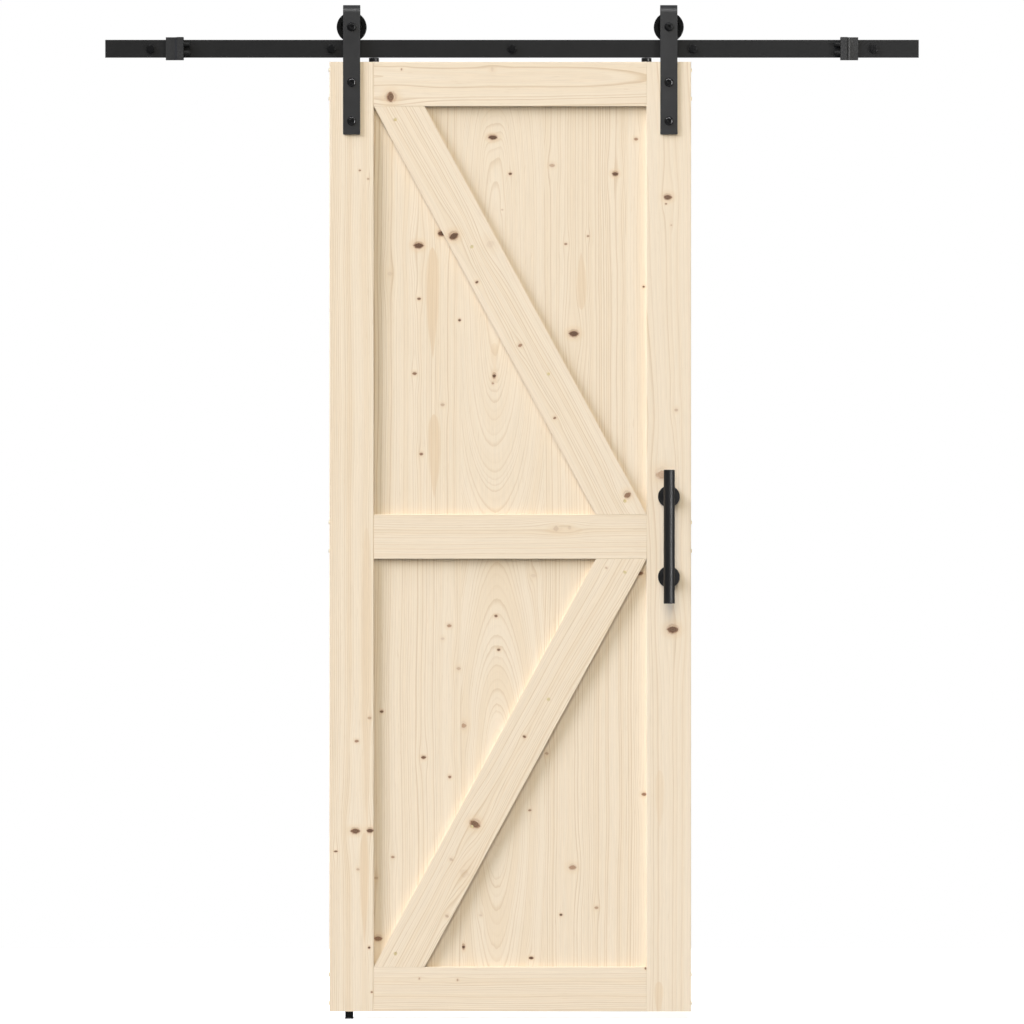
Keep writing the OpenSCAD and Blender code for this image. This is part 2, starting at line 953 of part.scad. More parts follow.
module strap_nuts() {
    y0 = door_back + washer_t;
    color(steel)
        for (side = [-1, 1])
            for (i = [0, 1]) {
                x = door_x + side * hang_x;
                z = door_top - strap_bolt_top - i * strap_bolt_pitch;
                difference() {
                    hex_y(x, z, y0, y0 + nut_h, nut_af);
                    rod_y(x, z, y0 - over, y0 + nut_h + over, strap_bolt_d + 2 * bolt_fit);
                }
            }
}

// ---- Axles, wheels and bearings ----

module axle_bolt(side) {
    x = door_x + side * hang_x;
    color(soot) {
        button_head(x, axle_z, strap_front, axle_head_d, axle_head_h, axle_d * socket_af_share);
        rod_y(x, axle_z, strap_front, strap_rear_out + nut_h + thread_show, axle_d);
    }
}

module axle_bolt_left() {
    axle_bolt(-1);
}

module axle_bolt_right() {
    axle_bolt(1);
}

module axle_nuts() {
    color(steel)
        for (side = [-1, 1]) {
            x = door_x + side * hang_x;
            difference() {
                hex_y(x, axle_z, strap_rear_out, strap_rear_out + nut_h, nut_af);
                rod_y(x, axle_z, strap_rear_out - over, strap_rear_out + nut_h + over,
                    axle_d + 2 * bolt_fit);
            }
        }
}

// Plain sleeves that hold the inner ring midway between the strap's legs
module axle_sleeves() {
    sleeve_d = 2 * (ball_pitch_r - race_gap) - sleeve_step;
    color(steel)
        for (side = [-1, 1])
            for (span = [
                [door_front, track_y - bearing_w / 2],
                [track_y + bearing_w / 2, strap_rear_in]
            ]) {
                x = door_x + side * hang_x;
                difference() {
                    rod_y(x, axle_z, span[0], span[1], sleeve_d);
                    rod_y(x, axle_z, span[0] - over, span[1] + over, axle_d + 2 * bolt_fit);
                }
            }
}

// Ring of a bearing from radius r0 to r1, with the ball's race cut in
module bearing_ring(side, r0, r1) {
    x = door_x + side * hang_x;
    color(steel)
        turned_y(x, axle_z, track_y - bearing_w / 2)
            difference() {
                translate([r0, 0])
                    square([r1 - r0, bearing_w]);
                translate([ball_pitch_r, bearing_w / 2])
                    circle(r = race_r, $fn = fine);
            }
}

module inner_ring_left() {
    bearing_ring(-1, axle_d / 2 + bolt_fit / 2, ball_pitch_r - race_gap);
}

module inner_ring_right() {
    bearing_ring(1, axle_d / 2 + bolt_fit / 2, ball_pitch_r - race_gap);
}

module outer_ring_left() {
    bearing_ring(-1, ball_pitch_r + race_gap, bearing_d / 2);
}

module outer_ring_right() {
    bearing_ring(1, ball_pitch_r + race_gap, bearing_d / 2);
}

module bearing_balls(side) {
    color(steel)
        translate([door_x + side * hang_x, track_y, axle_z])
            for (i = [0 : ball_count - 1])
                rotate([0, i * 360 / ball_count, 0])
                    translate([ball_pitch_r, 0, 0])
                        sphere(d = ball_d, $fn = small);
}

module bearing_balls_left() {
    bearing_balls(-1);
}

module bearing_balls_right() {
    bearing_balls(1);
}

module bearing_shields(side) {
    x = door_x + side * hang_x;
    r0 = ball_pitch_r - race_gap + shield_gap;
    color(soot)
        for (y = [track_y - bearing_w / 2, track_y + bearing_w / 2 - shield_t])
            turned_y(x, axle_z, y)
                translate([r0, 0])
                    square([ball_pitch_r + race_gap - r0, shield_t]);
}

module bearing_shields_left() {
    bearing_shields(-1);
}

module bearing_shields_right() {
    bearing_shields(1);
}

// Grooved wheel: the rim's section with a flat groove, and a web that holds the bearing
module grooved_wheel(side) {
    x = door_x + side * hang_x;
    half = wheel_w / 2;
    groove_half = track_t / 2 + wheel_groove_side;
    rim_r = wheel_d / 2;
    edge = 1;
    color(soot)
        turned_y(x, axle_z, track_y)
            polygon([
                [bearing_d / 2, -bearing_w / 2], [wheel_recess_d / 2, -bearing_w / 2],
                [wheel_recess_d / 2, -half], [rim_r - edge, -half], [rim_r, edge - half],
                [rim_r, -groove_half - edge], [groove_r, -groove_half],
                [groove_r, groove_half], [rim_r, groove_half + edge],
                [rim_r, half - edge], [rim_r - edge, half], [wheel_recess_d / 2, half],
                [wheel_recess_d / 2, bearing_w / 2], [bearing_d / 2, bearing_w / 2]
            ]);
}

module wheel_left() {
    grooved_wheel(-1);
}

module wheel_right() {
    grooved_wheel(1);
}

// ---- Anti-jump discs ----

// The discs sit under the rail at the joints of stile and rail, each on a screw off its middle
module disc_screw_places() {
    for (side = [-1, 1])
        translate([door_x + side * (joint_x + disc_cam), track_y, door_top])
            children();
}

module disc_screw_holes() {
    disc_screw_places()
        translate([0, 0, -disc_screw_len - over])
            cylinder(h = disc_screw_len + 2 * over, d = disc_screw_d + 2 * bolt_fit, $fn = small);
}

module anti_jump_disc(side) {
    bevel = 0.6;
    color(soot)
        difference() {
            translate([door_x + side * joint_x, track_y, door_top])
                rotate_extrude($fn = fine)
                    polygon([
                        [0, 0], [disc_d / 2 - bevel, 0], [disc_d / 2, bevel],
                        [disc_d / 2, disc_h - bevel], [disc_d / 2 - bevel, disc_h], [0, disc_h]
                    ]);
            disc_screw_holes();
            disc_screw_places()
                translate([0, 0, disc_h / 2])
                    cylinder(h = disc_h, d = disc_head_d + 2 * bolt_fit, $fn = small);
            disc_screw_places()
                cylinder(h = disc_h, d = disc_screw_d + 2 * bolt_fit, $fn = small);
        }
}

module anti_jump_disc_left() {
    anti_jump_disc(-1);
}

module anti_jump_disc_right() {
    anti_jump_disc(1);
}

module anti_jump_screws() {
    seat = disc_h / 2;
    color(steel)
        disc_screw_places()
            translate([0, 0, seat])
                wood_screw(disc_screw_d, disc_screw_len + seat, disc_head_d, 0, seat * plain_share, disc_h);
}

// ---- Pull handle ----

module handle_places() {
    for (side = [-1, 1])
        translate([0, 0, door_mid + side * post_pitch / 2])
            children();
}

module handle_bolt_holes(y0, y1) {
    handle_places()
        rod_y(handle_x, 0, y0, y1, handle_bolt_d + 2 * bolt_fit);
}

module handle_bar() {
    bevel = 1;
    color(soot)
        difference() {
            translate([handle_x, bar_y, door_mid - bar_len / 2])
                rotate_extrude($fn = fine)
                    polygon([
                        [0, 0], [bar_d / 2 - bevel, 0], [bar_d / 2, bevel],
                        [bar_d / 2, bar_len - bevel], [bar_d / 2 - bevel, bar_len], [0, bar_len]
                    ]);
            handle_places()
                rod_y(handle_x, 0, post_end, bar_y + bar_d, post_d + 2 * bolt_fit);
        }
}

module handle_posts() {
    color(soot)
        difference() {
            handle_places()
                rod_y(handle_x, 0, post_end, door_front, post_d);
            handle_bolt_holes(door_front - handle_bolt_in - over, door_front + over);
        }
}

module handle_rosettes() {
    bevel = 1;
    color(soot)
        handle_places()
            turned_y(handle_x, 0, door_front - rosette_t)
                polygon([
                    [post_d / 2 + bolt_fit, 0], [rosette_d / 2 - bevel, 0], [rosette_d / 2, bevel],
                    [rosette_d / 2, rosette_t], [post_d / 2 + bolt_fit, rosette_t]
                ]);
}

module handle_bolts() {
    seat = door_back + washer_t;
    color(steel)
        handle_places() {
            rod_y(handle_x, 0, door_front - handle_bolt_in, seat, handle_bolt_d);
            hex_y(handle_x, 0, seat, seat + handle_bolt_d * hex_h_share, handle_bolt_d * hex_af_share);
        }
}

module handle_washers() {
    color(steel)
        handle_places()
            difference() {
                rod_y(handle_x, 0, door_back, door_back + washer_t, washer_d);
                rod_y(handle_x, 0, door_back - over, door_back + washer_t + over,
                    handle_bolt_d + 2 * bolt_fit);
            }
}

track_rail();
wall_spacers();
lag_screws();
stop_bracket_left();
stop_bracket_right();
stop_bumpers_left();
stop_bumpers_right();
stop_set_screws();
floor_guide();
floor_guide_screws();
left_stile();
right_stile();
top_rail();
middle_rail();
bottom_rail();
upper_board_1();
upper_board_2();
upper_board_3();
upper_board_4();
lower_board_1();
lower_board_2();
lower_board_3();
lower_board_4();
upper_brace();
lower_brace();
frame_screws_left();
frame_screws_right();
upper_brace_screws();
lower_brace_screws();
hanger_strap_left();
hanger_strap_right();
strap_bolts_left();
strap_bolts_right();
strap_washers();
strap_nuts();
axle_bolt_left();
axle_bolt_right();
axle_sleeves();
axle_nuts();
inner_ring_left();
inner_ring_right();
wheel_left();
outer_ring_left();
bearing_balls_left();
bearing_shields_left();
wheel_right();
outer_ring_right();
bearing_balls_right();
bearing_shields_right();
anti_jump_disc_left();
anti_jump_disc_right();
anti_jump_screws();
handle_bar();
handle_posts();
handle_rosettes();
handle_bolts();
handle_washers();
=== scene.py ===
"""Finishes and fine detail for a sliding barn door that hangs from a flat rail.

The packed model is loaded as a fixed frame. Timber gets a procedural spruce with knots, the ironwork gets
softened edges and coated finishes, and the fasteners are set out again with their real heads.
"""

import json
import math
from collections import namedtuple
from functools import cache

import bmesh
import bpy
from bpy.props import FloatProperty, FloatVectorProperty, IntProperty, PointerProperty
from mathutils import Matrix, Vector

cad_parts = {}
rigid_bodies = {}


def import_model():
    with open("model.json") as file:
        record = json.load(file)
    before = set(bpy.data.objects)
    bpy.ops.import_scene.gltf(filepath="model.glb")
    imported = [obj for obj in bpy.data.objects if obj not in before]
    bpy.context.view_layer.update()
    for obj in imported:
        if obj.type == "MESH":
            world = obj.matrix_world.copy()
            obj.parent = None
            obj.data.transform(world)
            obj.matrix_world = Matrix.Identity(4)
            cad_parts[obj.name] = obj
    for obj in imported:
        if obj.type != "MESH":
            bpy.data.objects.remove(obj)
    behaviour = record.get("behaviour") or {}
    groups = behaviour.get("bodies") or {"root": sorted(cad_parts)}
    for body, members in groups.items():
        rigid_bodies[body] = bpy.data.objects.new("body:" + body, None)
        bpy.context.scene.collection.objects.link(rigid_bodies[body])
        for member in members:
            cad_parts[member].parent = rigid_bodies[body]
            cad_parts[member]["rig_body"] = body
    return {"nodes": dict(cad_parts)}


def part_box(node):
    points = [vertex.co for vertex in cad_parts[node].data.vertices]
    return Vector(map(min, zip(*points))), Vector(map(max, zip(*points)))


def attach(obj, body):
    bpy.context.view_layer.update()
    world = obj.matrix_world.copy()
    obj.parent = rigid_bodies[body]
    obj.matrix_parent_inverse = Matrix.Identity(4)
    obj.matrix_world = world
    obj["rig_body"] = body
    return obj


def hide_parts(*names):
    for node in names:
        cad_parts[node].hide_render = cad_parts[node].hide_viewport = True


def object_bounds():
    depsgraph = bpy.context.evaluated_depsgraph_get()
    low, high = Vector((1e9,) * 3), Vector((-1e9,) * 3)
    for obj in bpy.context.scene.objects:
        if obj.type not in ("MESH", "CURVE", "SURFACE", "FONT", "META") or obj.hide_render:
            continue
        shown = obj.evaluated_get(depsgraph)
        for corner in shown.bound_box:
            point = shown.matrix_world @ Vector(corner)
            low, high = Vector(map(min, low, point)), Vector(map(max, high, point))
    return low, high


bl_info = {
    "name": "Sliding Barn Door",
    "version": (1, 0, 0),
    "blender": (4, 5, 0),
    "location": "3D View > Sidebar > Barn Door",
    "description": "Finishes a sliding barn door with its rail, hangers, stops, pull and floor guide",
    "category": "Add Mesh",
}

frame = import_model()
CAD_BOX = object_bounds()

MM = 0.001
PER_MM = (1 / MM, 1 / MM, 1 / MM)
# Turns that point a fastener's own Z, where its head is, the way that their names say
OUTWARD = (math.pi / 2, 0.0, 0.0)
TO_LEFT = (0.0, -math.pi / 2, 0.0)
TO_RIGHT = (0.0, math.pi / 2, 0.0)
TO_WALL = (-math.pi / 2, 0.0, 0.0)
UPWARD = (0.0, 0.0, 0.0)
DOWNWARD = (math.pi, 0.0, 0.0)

# Knots lie at x to the right of the door's middle and z above its mid-height, in millimetres.
# width is measured across the grain, squash is width over height, and dark runs from 0 to 1.
Knot = namedtuple("Knot", "x z width squash dark")
# Heartwood streaks: length along the grain and width across it, in millimetres
Streak = namedtuple("Streak", "x z length width strength")
# How a member was cut from its log, in millimetres: the pith's place across the member and its least depth
# behind the middle, how fast the pith leans away from there, the place along the member where it comes
# nearest, its wave, the growth rings' width, and the share of warm tone, the strength of the late wood and
# the number that picks its noise.
Cut = namedtuple("Cut", "pith depth slope near wave ring warm late seed")

CUTS = {
    "left_stile": Cut(-230, 60, 0.03, 400, 4, 4.8, 0.45, 0.5, 1),
    "right_stile": Cut(-72, 25, 0.045, -700, 3, 8.4, 0.25, 0.42, 2),
    "top_rail": Cut(-14, 22, 0.05, -420, 4, 9.5, 0.4, 0.55, 3),
    "middle_rail": Cut(160, 40, 0.03, 400, 4, 4.6, 0.35, 0.5, 4),
    "bottom_rail": Cut(-170, 50, 0.03, -400, 3, 4.8, 0.35, 0.5, 5),
    "upper_board_1": Cut(-190, 50, 0.03, 500, 4, 5.4, 0.4, 0.6, 6),
    "upper_board_2": Cut(-21, 20, 0.16, 110, 5, 3.6, 0.3, 0.36, 7),
    "upper_board_3": Cut(210, 40, 0.05, 500, 6, 6.4, 0.35, 0.62, 8),
    "upper_board_4": Cut(120, 30, 0.03, 300, 4, 7.0, 0.3, 0.6, 9),
    "lower_board_1": Cut(170, 60, 0.03, -500, 5, 6.0, 0.3, 0.55, 10),
    "lower_board_2": Cut(-16, 20, 0.17, -90, 4, 3.6, 0.4, 0.42, 11),
    "lower_board_3": Cut(-200, 50, 0.03, 400, 4, 5.2, 0.35, 0.6, 12),
    "lower_board_4": Cut(-130, 30, 0.03, 400, 4, 5.6, 0.3, 0.6, 13),
    "upper_brace": Cut(-120, 40, 0.03, 500, 5, 5.6, 0.35, 0.65, 14),
    "lower_brace": Cut(110, 30, 0.05, -400, 6, 5.2, 0.4, 0.6, 15),
}

KNOTS = {
    "left_stile": (
        Knot(-348, -661, 19, 1.4, 0.75), Knot(-315, -660, 14, 1.2, 0.8), Knot(-345, -459, 9, 1.2, 0.5),
        Knot(-392, -707, 8, 1.8, 0.7), Knot(-317, -923, 5, 0.8, 0.9), Knot(-338, 823, 5, 1.0, 0.5),
        Knot(-319, 804, 6, 1.0, 0.35), Knot(-316, -407, 9, 1.0, 0.35), Knot(-342, -747, 7, 1.0, 0.3),
        Knot(-311, -1023, 5, 1.0, 0.6),
    ),
    "right_stile": (
        Knot(354, 763, 17, 1.25, 0.75), Knot(341, 140, 26, 0.9, 0.36), Knot(365, -208, 23, 1.15, 0.75),
        Knot(373, 285, 8, 0.8, 0.3), Knot(350, 748, 5, 1.0, 0.5), Knot(362, 700, 4, 1.0, 0.3),
    ),
    "top_rail": (
        Knot(-268, 988, 21, 0.95, 0.7), Knot(-244, 1050, 5, 1.0, 0.4), Knot(-40, 1050, 10, 1.0, 0.15),
    ),
    "middle_rail": (Knot(104, 18, 13, 0.6, 0.22), Knot(134, 20, 9, 0.7, 0.18)),
    "bottom_rail": (
        Knot(304, -970, 5, 1.0, 0.7), Knot(-204, -993, 5, 1.0, 0.35), Knot(-118, -996, 6, 1.0, 0.35),
    ),
    "upper_board_1": (
        Knot(-206, 655, 20, 1.35, 0.85), Knot(-155, 682, 15, 1.1, 0.9), Knot(-205, 535, 8, 1.2, 0.7),
        Knot(-215, 367, 9, 1.1, 0.6), Knot(-200, 186, 8, 1.0, 0.6), Knot(-114, 487, 6, 1.0, 0.8),
        Knot(-270, 592, 12, 0.8, 0.15), Knot(-152, 297, 9, 1.0, 0.3),
    ),
    "upper_board_2": (
        Knot(-39, 898, 18, 1.6, 0.9), Knot(0, 816, 7, 1.1, 0.85), Knot(-36, 362, 8, 0.6, 0.9),
        Knot(-39, 345, 6, 0.8, 0.4), Knot(-18, 735, 5, 1.3, 0.25),
    ),
    "upper_board_3": (
        Knot(94, 835, 12, 1.2, 0.35), Knot(143, 457, 20, 1.25, 0.85), Knot(175, 676, 6, 1.0, 0.45),
        Knot(125, 658, 7, 1.2, 0.5), Knot(236, 816, 13, 1.2, 0.85),
    ),
    "upper_board_4": (Knot(283, 894, 9, 1.1, 0.5), Knot(300, 562, 5, 1.0, 0.85)),
    "lower_board_1": (
        Knot(-289, -393, 8, 1.1, 0.75), Knot(-195, -496, 10, 1.2, 0.75), Knot(-137, -200, 10, 1.1, 0.45),
        Knot(-116, -296, 10, 1.0, 0.3), Knot(-152, -229, 8, 1.0, 0.2), Knot(-136, -540, 7, 0.9, 0.6),
        Knot(-264, -720, 8, 1.2, 0.45), Knot(-297, -903, 17, 1.2, 0.6), Knot(-301, -767, 8, 1.0, 0.3),
    ),
    "lower_board_2": (
        Knot(-105, -424, 13, 0.8, 0.4), Knot(-32, -178, 7, 1.0, 0.7), Knot(-26, -254, 7, 1.0, 0.75),
        Knot(-105, -922, 6, 0.5, 1.0), Knot(47, -947, 9, 1.4, 0.95), Knot(44, -615, 7, 1.3, 0.5),
        Knot(52, -87, 12, 1.0, 0.15), Knot(-66, -851, 7, 1.0, 0.2),
    ),
    "lower_board_3": (
        Knot(82, -487, 8, 0.8, 0.35), Knot(140, -743, 16, 1.15, 0.45), Knot(114, -850, 6, 1.1, 0.95),
        Knot(194, -834, 9, 1.1, 0.4),
    ),
    "lower_board_4": (Knot(292, -82, 13, 1.3, 0.6), Knot(301, -579, 11, 1.3, 0.6)),
    "upper_brace": (
        Knot(-127, 676, 20, 1.1, 0.85), Knot(100, 267, 7, 1.1, 0.6), Knot(263, 94, 15, 0.9, 0.6),
        Knot(-75, 572, 7, 1.1, 0.75), Knot(22, 430, 10, 1.2, 0.5), Knot(-45, 658, 20, 0.8, 0.14),
    ),
    "lower_brace": (
        Knot(32, -449, 7, 1.0, 0.75), Knot(-79, -645, 22, 1.15, 0.7), Knot(-132, -725, 9, 1.0, 0.25),
        Knot(216, -70, 6, 1.0, 0.3), Knot(-102, -755, 20, 0.5, 0.15), Knot(-142, -852, 9, 0.9, 0.3),
    ),
}

STREAKS = {
    "left_stile": (Streak(-328, -790, 250, 20, 0.6), Streak(-322, -330, 700, 24, 0.35)),
    "right_stile": (Streak(334, -1040, 80, 18, 0.45), Streak(336, -590, 130, 22, 0.3)),
    "upper_board_1": (Streak(-175, 525, 250, 28, 0.65), Streak(-171, 180, 190, 28, 0.6)),
    "upper_board_2": (Streak(-36, 405, 60, 18, 0.3),),
    "upper_board_3": (Streak(160, 575, -130, 22, 0.5),),
    "middle_rail": (Streak(118, 14, 90, 16, 0.25),),
}

# The stiles stand at the door's two edges and are as tall as it is
DOOR_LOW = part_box("left_stile")[0]
DOOR_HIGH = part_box("right_stile")[1]
DOOR_MIDDLE = (DOOR_LOW + DOOR_HIGH) / 2


# ---- Node trees ----


class Wire:
    """A node's output that can stand in sums, so that a tree reads as its formula."""

    def __init__(self, build, socket):
        self.build = build
        self.socket = socket

    def __add__(self, other):
        return self.build.math("ADD", self, other)

    def __sub__(self, other):
        return self.build.math("SUBTRACT", self, other)

    def __mul__(self, other):
        return self.build.math("MULTIPLY", self, other)

    def __truediv__(self, other):
        return self.build.math("DIVIDE", self, other)


class Builder:
    """Adds nodes to a tree and links or sets their inputs."""

    def __init__(self, tree):
        self.tree = tree

    def add(self, kind, inputs=None, **settings):
        """A new node. inputs maps its sockets to values or to other nodes' outputs."""
        node = self.tree.nodes.new(kind)
        for name, value in settings.items():
            setattr(node, name, value)
        for key, value in (inputs or {}).items():
            self.feed(node.inputs[key], value)
        return node

    def wire(self, kind, inputs=None, output=0, **settings):
        """One output of a new node."""
        return Wire(self, self.add(kind, inputs, **settings).outputs[output])

    def feed(self, socket, value):
        """Links an output to the socket, or sets the socket's own value."""
        if isinstance(value, Wire):
            value = value.socket
        if isinstance(value, bpy.types.NodeSocket):
            self.tree.links.new(value, socket)
        else:
            socket.default_value = value

    def math(self, operation, a, b=0.0):
        return self.wire("ShaderNodeMath", {0: a, 1: b}, operation=operation)

    def smooth(self, value, low, high, start=0.0, end=1.0):
        """A soft step from start to end as the value goes from low to high."""
        inputs = {"Value": value, "From Min": low, "From Max": high, "To Min": start, "To Max": end}
        return self.wire("ShaderNodeMapRange", inputs, interpolation_type="SMOOTHSTEP")

    def scaled(self, vector, size):
        """The vector with each axis multiplied."""
        return self.wire("ShaderNodeVectorMath", {0: vector, 1: size}, operation="MULTIPLY")

    def length(self, vector):
        return self.wire("ShaderNodeVectorMath", {0: vector}, "Value", operation="LENGTH")

    def noise(self, vector, detail=2.0, roughness=0.5, scale=1.0):
        inputs = {"Vector": vector, "Scale": scale, "Detail": detail, "Roughness": roughness}
        return self.wire("ShaderNodeTexNoise", inputs, noise_dimensions="3D")

    def sway(self, vector, size, detail=2.0):
        """Noise about zero, of a vector with each axis multiplied."""
        return self.noise(self.scaled(vector, size), detail) - 0.5

    def noise_along(self, value, detail=1.0):
        """Noise of a single number."""
        inputs = {"W": value, "Scale": 1.0, "Detail": detail}
        return self.wire("ShaderNodeTexNoise", inputs, noise_dimensions="1D")

    def mix(self, share, a, b, blend="MIX"):
        """Colour a changed towards colour b."""
        settings = {"data_type": "RGBA", "blend_type": blend}
        return self.wire("ShaderNodeMix", {0: share, 6: a, 7: b}, 2, **settings)

    def shaded(self, color, level):
        """The colour multiplied by a number."""
        return self.mix(1.0, color, self.joined(level, level, level), "MULTIPLY")

    def axes(self, vector):
        """The vector's three parts."""
        return [Wire(self, part) for part in self.add("ShaderNodeSeparateXYZ", {0: vector}).outputs]

    def joined(self, x, y, z):
        return self.wire("ShaderNodeCombineXYZ", {0: x, 1: y, 2: z})

    def coordinates(self, kind):
        return self.wire("ShaderNodeTexCoord", output=kind)


def new_group(name, kind, inputs, outputs):
    """The builder, the named inputs and the outputs of a new node group.

    Inputs map names to a socket kind or to a number's default, and outputs map names to a socket kind.
    """
    tree = bpy.data.node_groups.new(name, kind)
    for title, given in inputs.items():
        if isinstance(given, str):
            tree.interface.new_socket(title, in_out="INPUT", socket_type=given)
        else:
            tree.interface.new_socket(title, in_out="INPUT", socket_type=FLOAT).default_value = given
    for title, given in outputs.items():
        tree.interface.new_socket(title, in_out="OUTPUT", socket_type=given)
    build = Builder(tree)
    source = {socket.name: Wire(build, socket) for socket in build.add("NodeGroupInput").outputs}
    return build, source, build.add("NodeGroupOutput").inputs


def grouped(make):
    """Makes a node group the first time it is asked for, and finds it again after that."""
    name = make.__doc__.split(":")[0]

    def find():
        return bpy.data.node_groups.get(name) or make(name)

    return find


FLOAT = "NodeSocketFloat"
WHOLE = "NodeSocketInt"
COLOR = "NodeSocketColor"
VECTOR = "NodeSocketVector"
GEOMETRY = "NodeSocketGeometry"
OBJECT = "NodeSocketObject"
MATERIAL = "NodeSocketMaterial"
SURFACE = {"Color": COLOR, "Roughness": FLOAT, "Height": FLOAT}

# A knot's soft edges, from outside to inside, in shares of its radius
KNOT_RIM = (1.3, 1.0)
KNOT_CORE = (1.2, 0.7)
KNOT_HALO = (2.6, 0.9)
# A knot's tone outside its core, how far the core sags, and how much flatter it is than the knot
KNOT_PALE = 0.34
CORE_SAG = 0.25
CORE_FLAT = 0.6
# How uneven a knot's outline is, and its own rings: radians in its radius and their change of tone
KNOT_WOBBLE = 0.6
KNOT_RINGS = (17.0, 0.07)
# How far round a knot the grain gives way, in radii, how slim that eye is, and how much it gives
EYE_REACH = 2.3
EYE_SLIM = 0.34
EYE_PUSH = -0.85


@grouped
def knot_group(name):
    """Wood Knot: one knot's mask and halo, and how far it pushes the grain aside.

    Shift, Knot and Halo come in from the knot before and go out with this one added.
    """
    inputs = {
        "Place": VECTOR, "Across": 0.0, "Along": 0.0, "Radius": 5.0, "Squash": 1.0, "Dark": 0.5,
        "Shift": 0.0, "Knot": 0.0, "Halo": 0.0,
    }
    outputs = {"Shift": FLOAT, "Knot": FLOAT, "Halo": FLOAT}
    build, source, sink = new_group(name, "ShaderNodeTree", inputs, outputs)
    place, size, dark = source["Place"], source["Radius"], source["Dark"]
    across, _, along = build.axes(place)
    across = across - source["Across"]
    along = along - source["Along"]
    radius = build.length(build.joined(across, 0.0, along * source["Squash"])) / size
    radius = radius + (build.noise(place, 3.0, 0.6, 0.22) - 0.5) * KNOT_WOBBLE
    tall = along / size
    core = radius + tall * CORE_SAG + build.math("ABSOLUTE", tall) * CORE_FLAT
    turns, depth = KNOT_RINGS
    tone = build.smooth(core, *KNOT_CORE, KNOT_PALE, 1.0) + build.math("SINE", radius * turns) * depth
    knot = build.smooth(radius, *KNOT_RIM) * tone * dark
    halo = build.smooth(radius, *KNOT_HALO) * (dark + 0.2)
    reach = build.length(build.joined(across, 0.0, along * EYE_SLIM)) / (size * EYE_REACH)
    fade = build.math("EXPONENT", reach * reach * -1.0)
    build.feed(sink["Shift"], source["Shift"] + across * fade * EYE_PUSH)
    build.feed(sink["Knot"], build.math("MAXIMUM", source["Knot"], knot))
    build.feed(sink["Halo"], build.math("MAXIMUM", source["Halo"], halo))
    return build.tree


# A streak's outline: the size of its unevenness in turns for each millimetre, how far that goes in
# millimetres, and its soft edge in shares of its half width
STREAK_SWAY = (0.05, 0.05, 0.012)
STREAK_SWAY_BY = 7.0
STREAK_EDGE = (1.3, 0.7)
# Makes a teardrop's widest place as wide as it is said to be
STREAK_FULL = 0.92


@grouped
def streak_group(name):
    """Heartwood Streak: a teardrop of warmer wood, added to the streaks before it.

    Its blunt end is at the top, or at the bottom where Half Length is negative.
    """
    inputs = {
        "Place": VECTOR, "Across": 0.0, "Along": 0.0, "Half Length": 50.0, "Half Width": 5.0,
        "Strength": 0.5, "Streak": 0.0,
    }
    build, source, sink = new_group(name, "ShaderNodeTree", inputs, {"Streak": FLOAT})
    across, _, along = build.axes(source["Place"])
    across = across + build.sway(source["Place"], STREAK_SWAY, 3.0) * STREAK_SWAY_BY
    aside = build.math("ABSOLUTE", across - source["Across"])
    end = (along - source["Along"]) / source["Half Length"]
    taper = build.math("MAXIMUM", end + 1.0, 0.0)
    blunt = build.math("SQRT", build.math("MAXIMUM", build.math("SUBTRACT", 1.0, end), 0.0))
    room = build.math("MAXIMUM", taper * blunt * source["Half Width"] * STREAK_FULL, 0.01)
    mask = build.smooth(aside / room, *STREAK_EDGE) * source["Strength"]
    build.feed(sink["Streak"], build.math("MAXIMUM", source["Streak"], mask))
    return build.tree


# Noise sizes in the spruce, across, through and along the member, in turns for each millimetre
BEND = (0.008, 0.008, 0.0022)
RIPPLE = (0.035, 0.035, 0.008)
JAG = (0.16, 0.16, 0.02)
CLOUD = (0.02, 0.02, 0.003)
FIBRE = (0.9, 0.9, 0.014)
PORES = (0.55, 0.55, 0.03)
# How far those bend the rings sideways, and ripple and jag their edges, in millimetres
BEND_BY = 15.0
RIPPLE_BY = 1.6
JAG_BY = 1.1
# Radians of the pith's wave in a millimetre, and what keeps one member's noise clear of the next one's
WAVE_TURN = 0.011
SEED_STEP = 517.0
# Where in a ring the late wood starts and is darkest, and how much the rings' spacing changes
LATE_START = 0.5
LATE_PEAK = 0.94
UNEVEN = 2.2
# Noise along the radius that changes the rings' spacing and makes warm bands, in turns for each millimetre
SPACING = 0.045
BANDS = 0.055
# Darkest and palest fibre, how strongly pores and halos show, and the tone of a member's sides and ends,
# partly darker sawn wood and partly painted shade that dims the light they bounce onto nearby wood
FIBRE_SHADE = (0.93, 1.05)
PORES_SHOW = 0.25
HALO_SHOWS = 0.5
SAWN_AND_PAINTED_SIDE_SHADE = 0.78
# The wood's roughness, and what late wood and knots change in it
ROUGH = 0.62
LATE_ROUGH = -0.12
KNOT_ROUGH = -0.18
# Shares of late wood, fibre and knots in the grain's relief
LATE_RELIEF = 0.35
FIBRE_RELIEF = 0.5
KNOT_RELIEF = -0.6


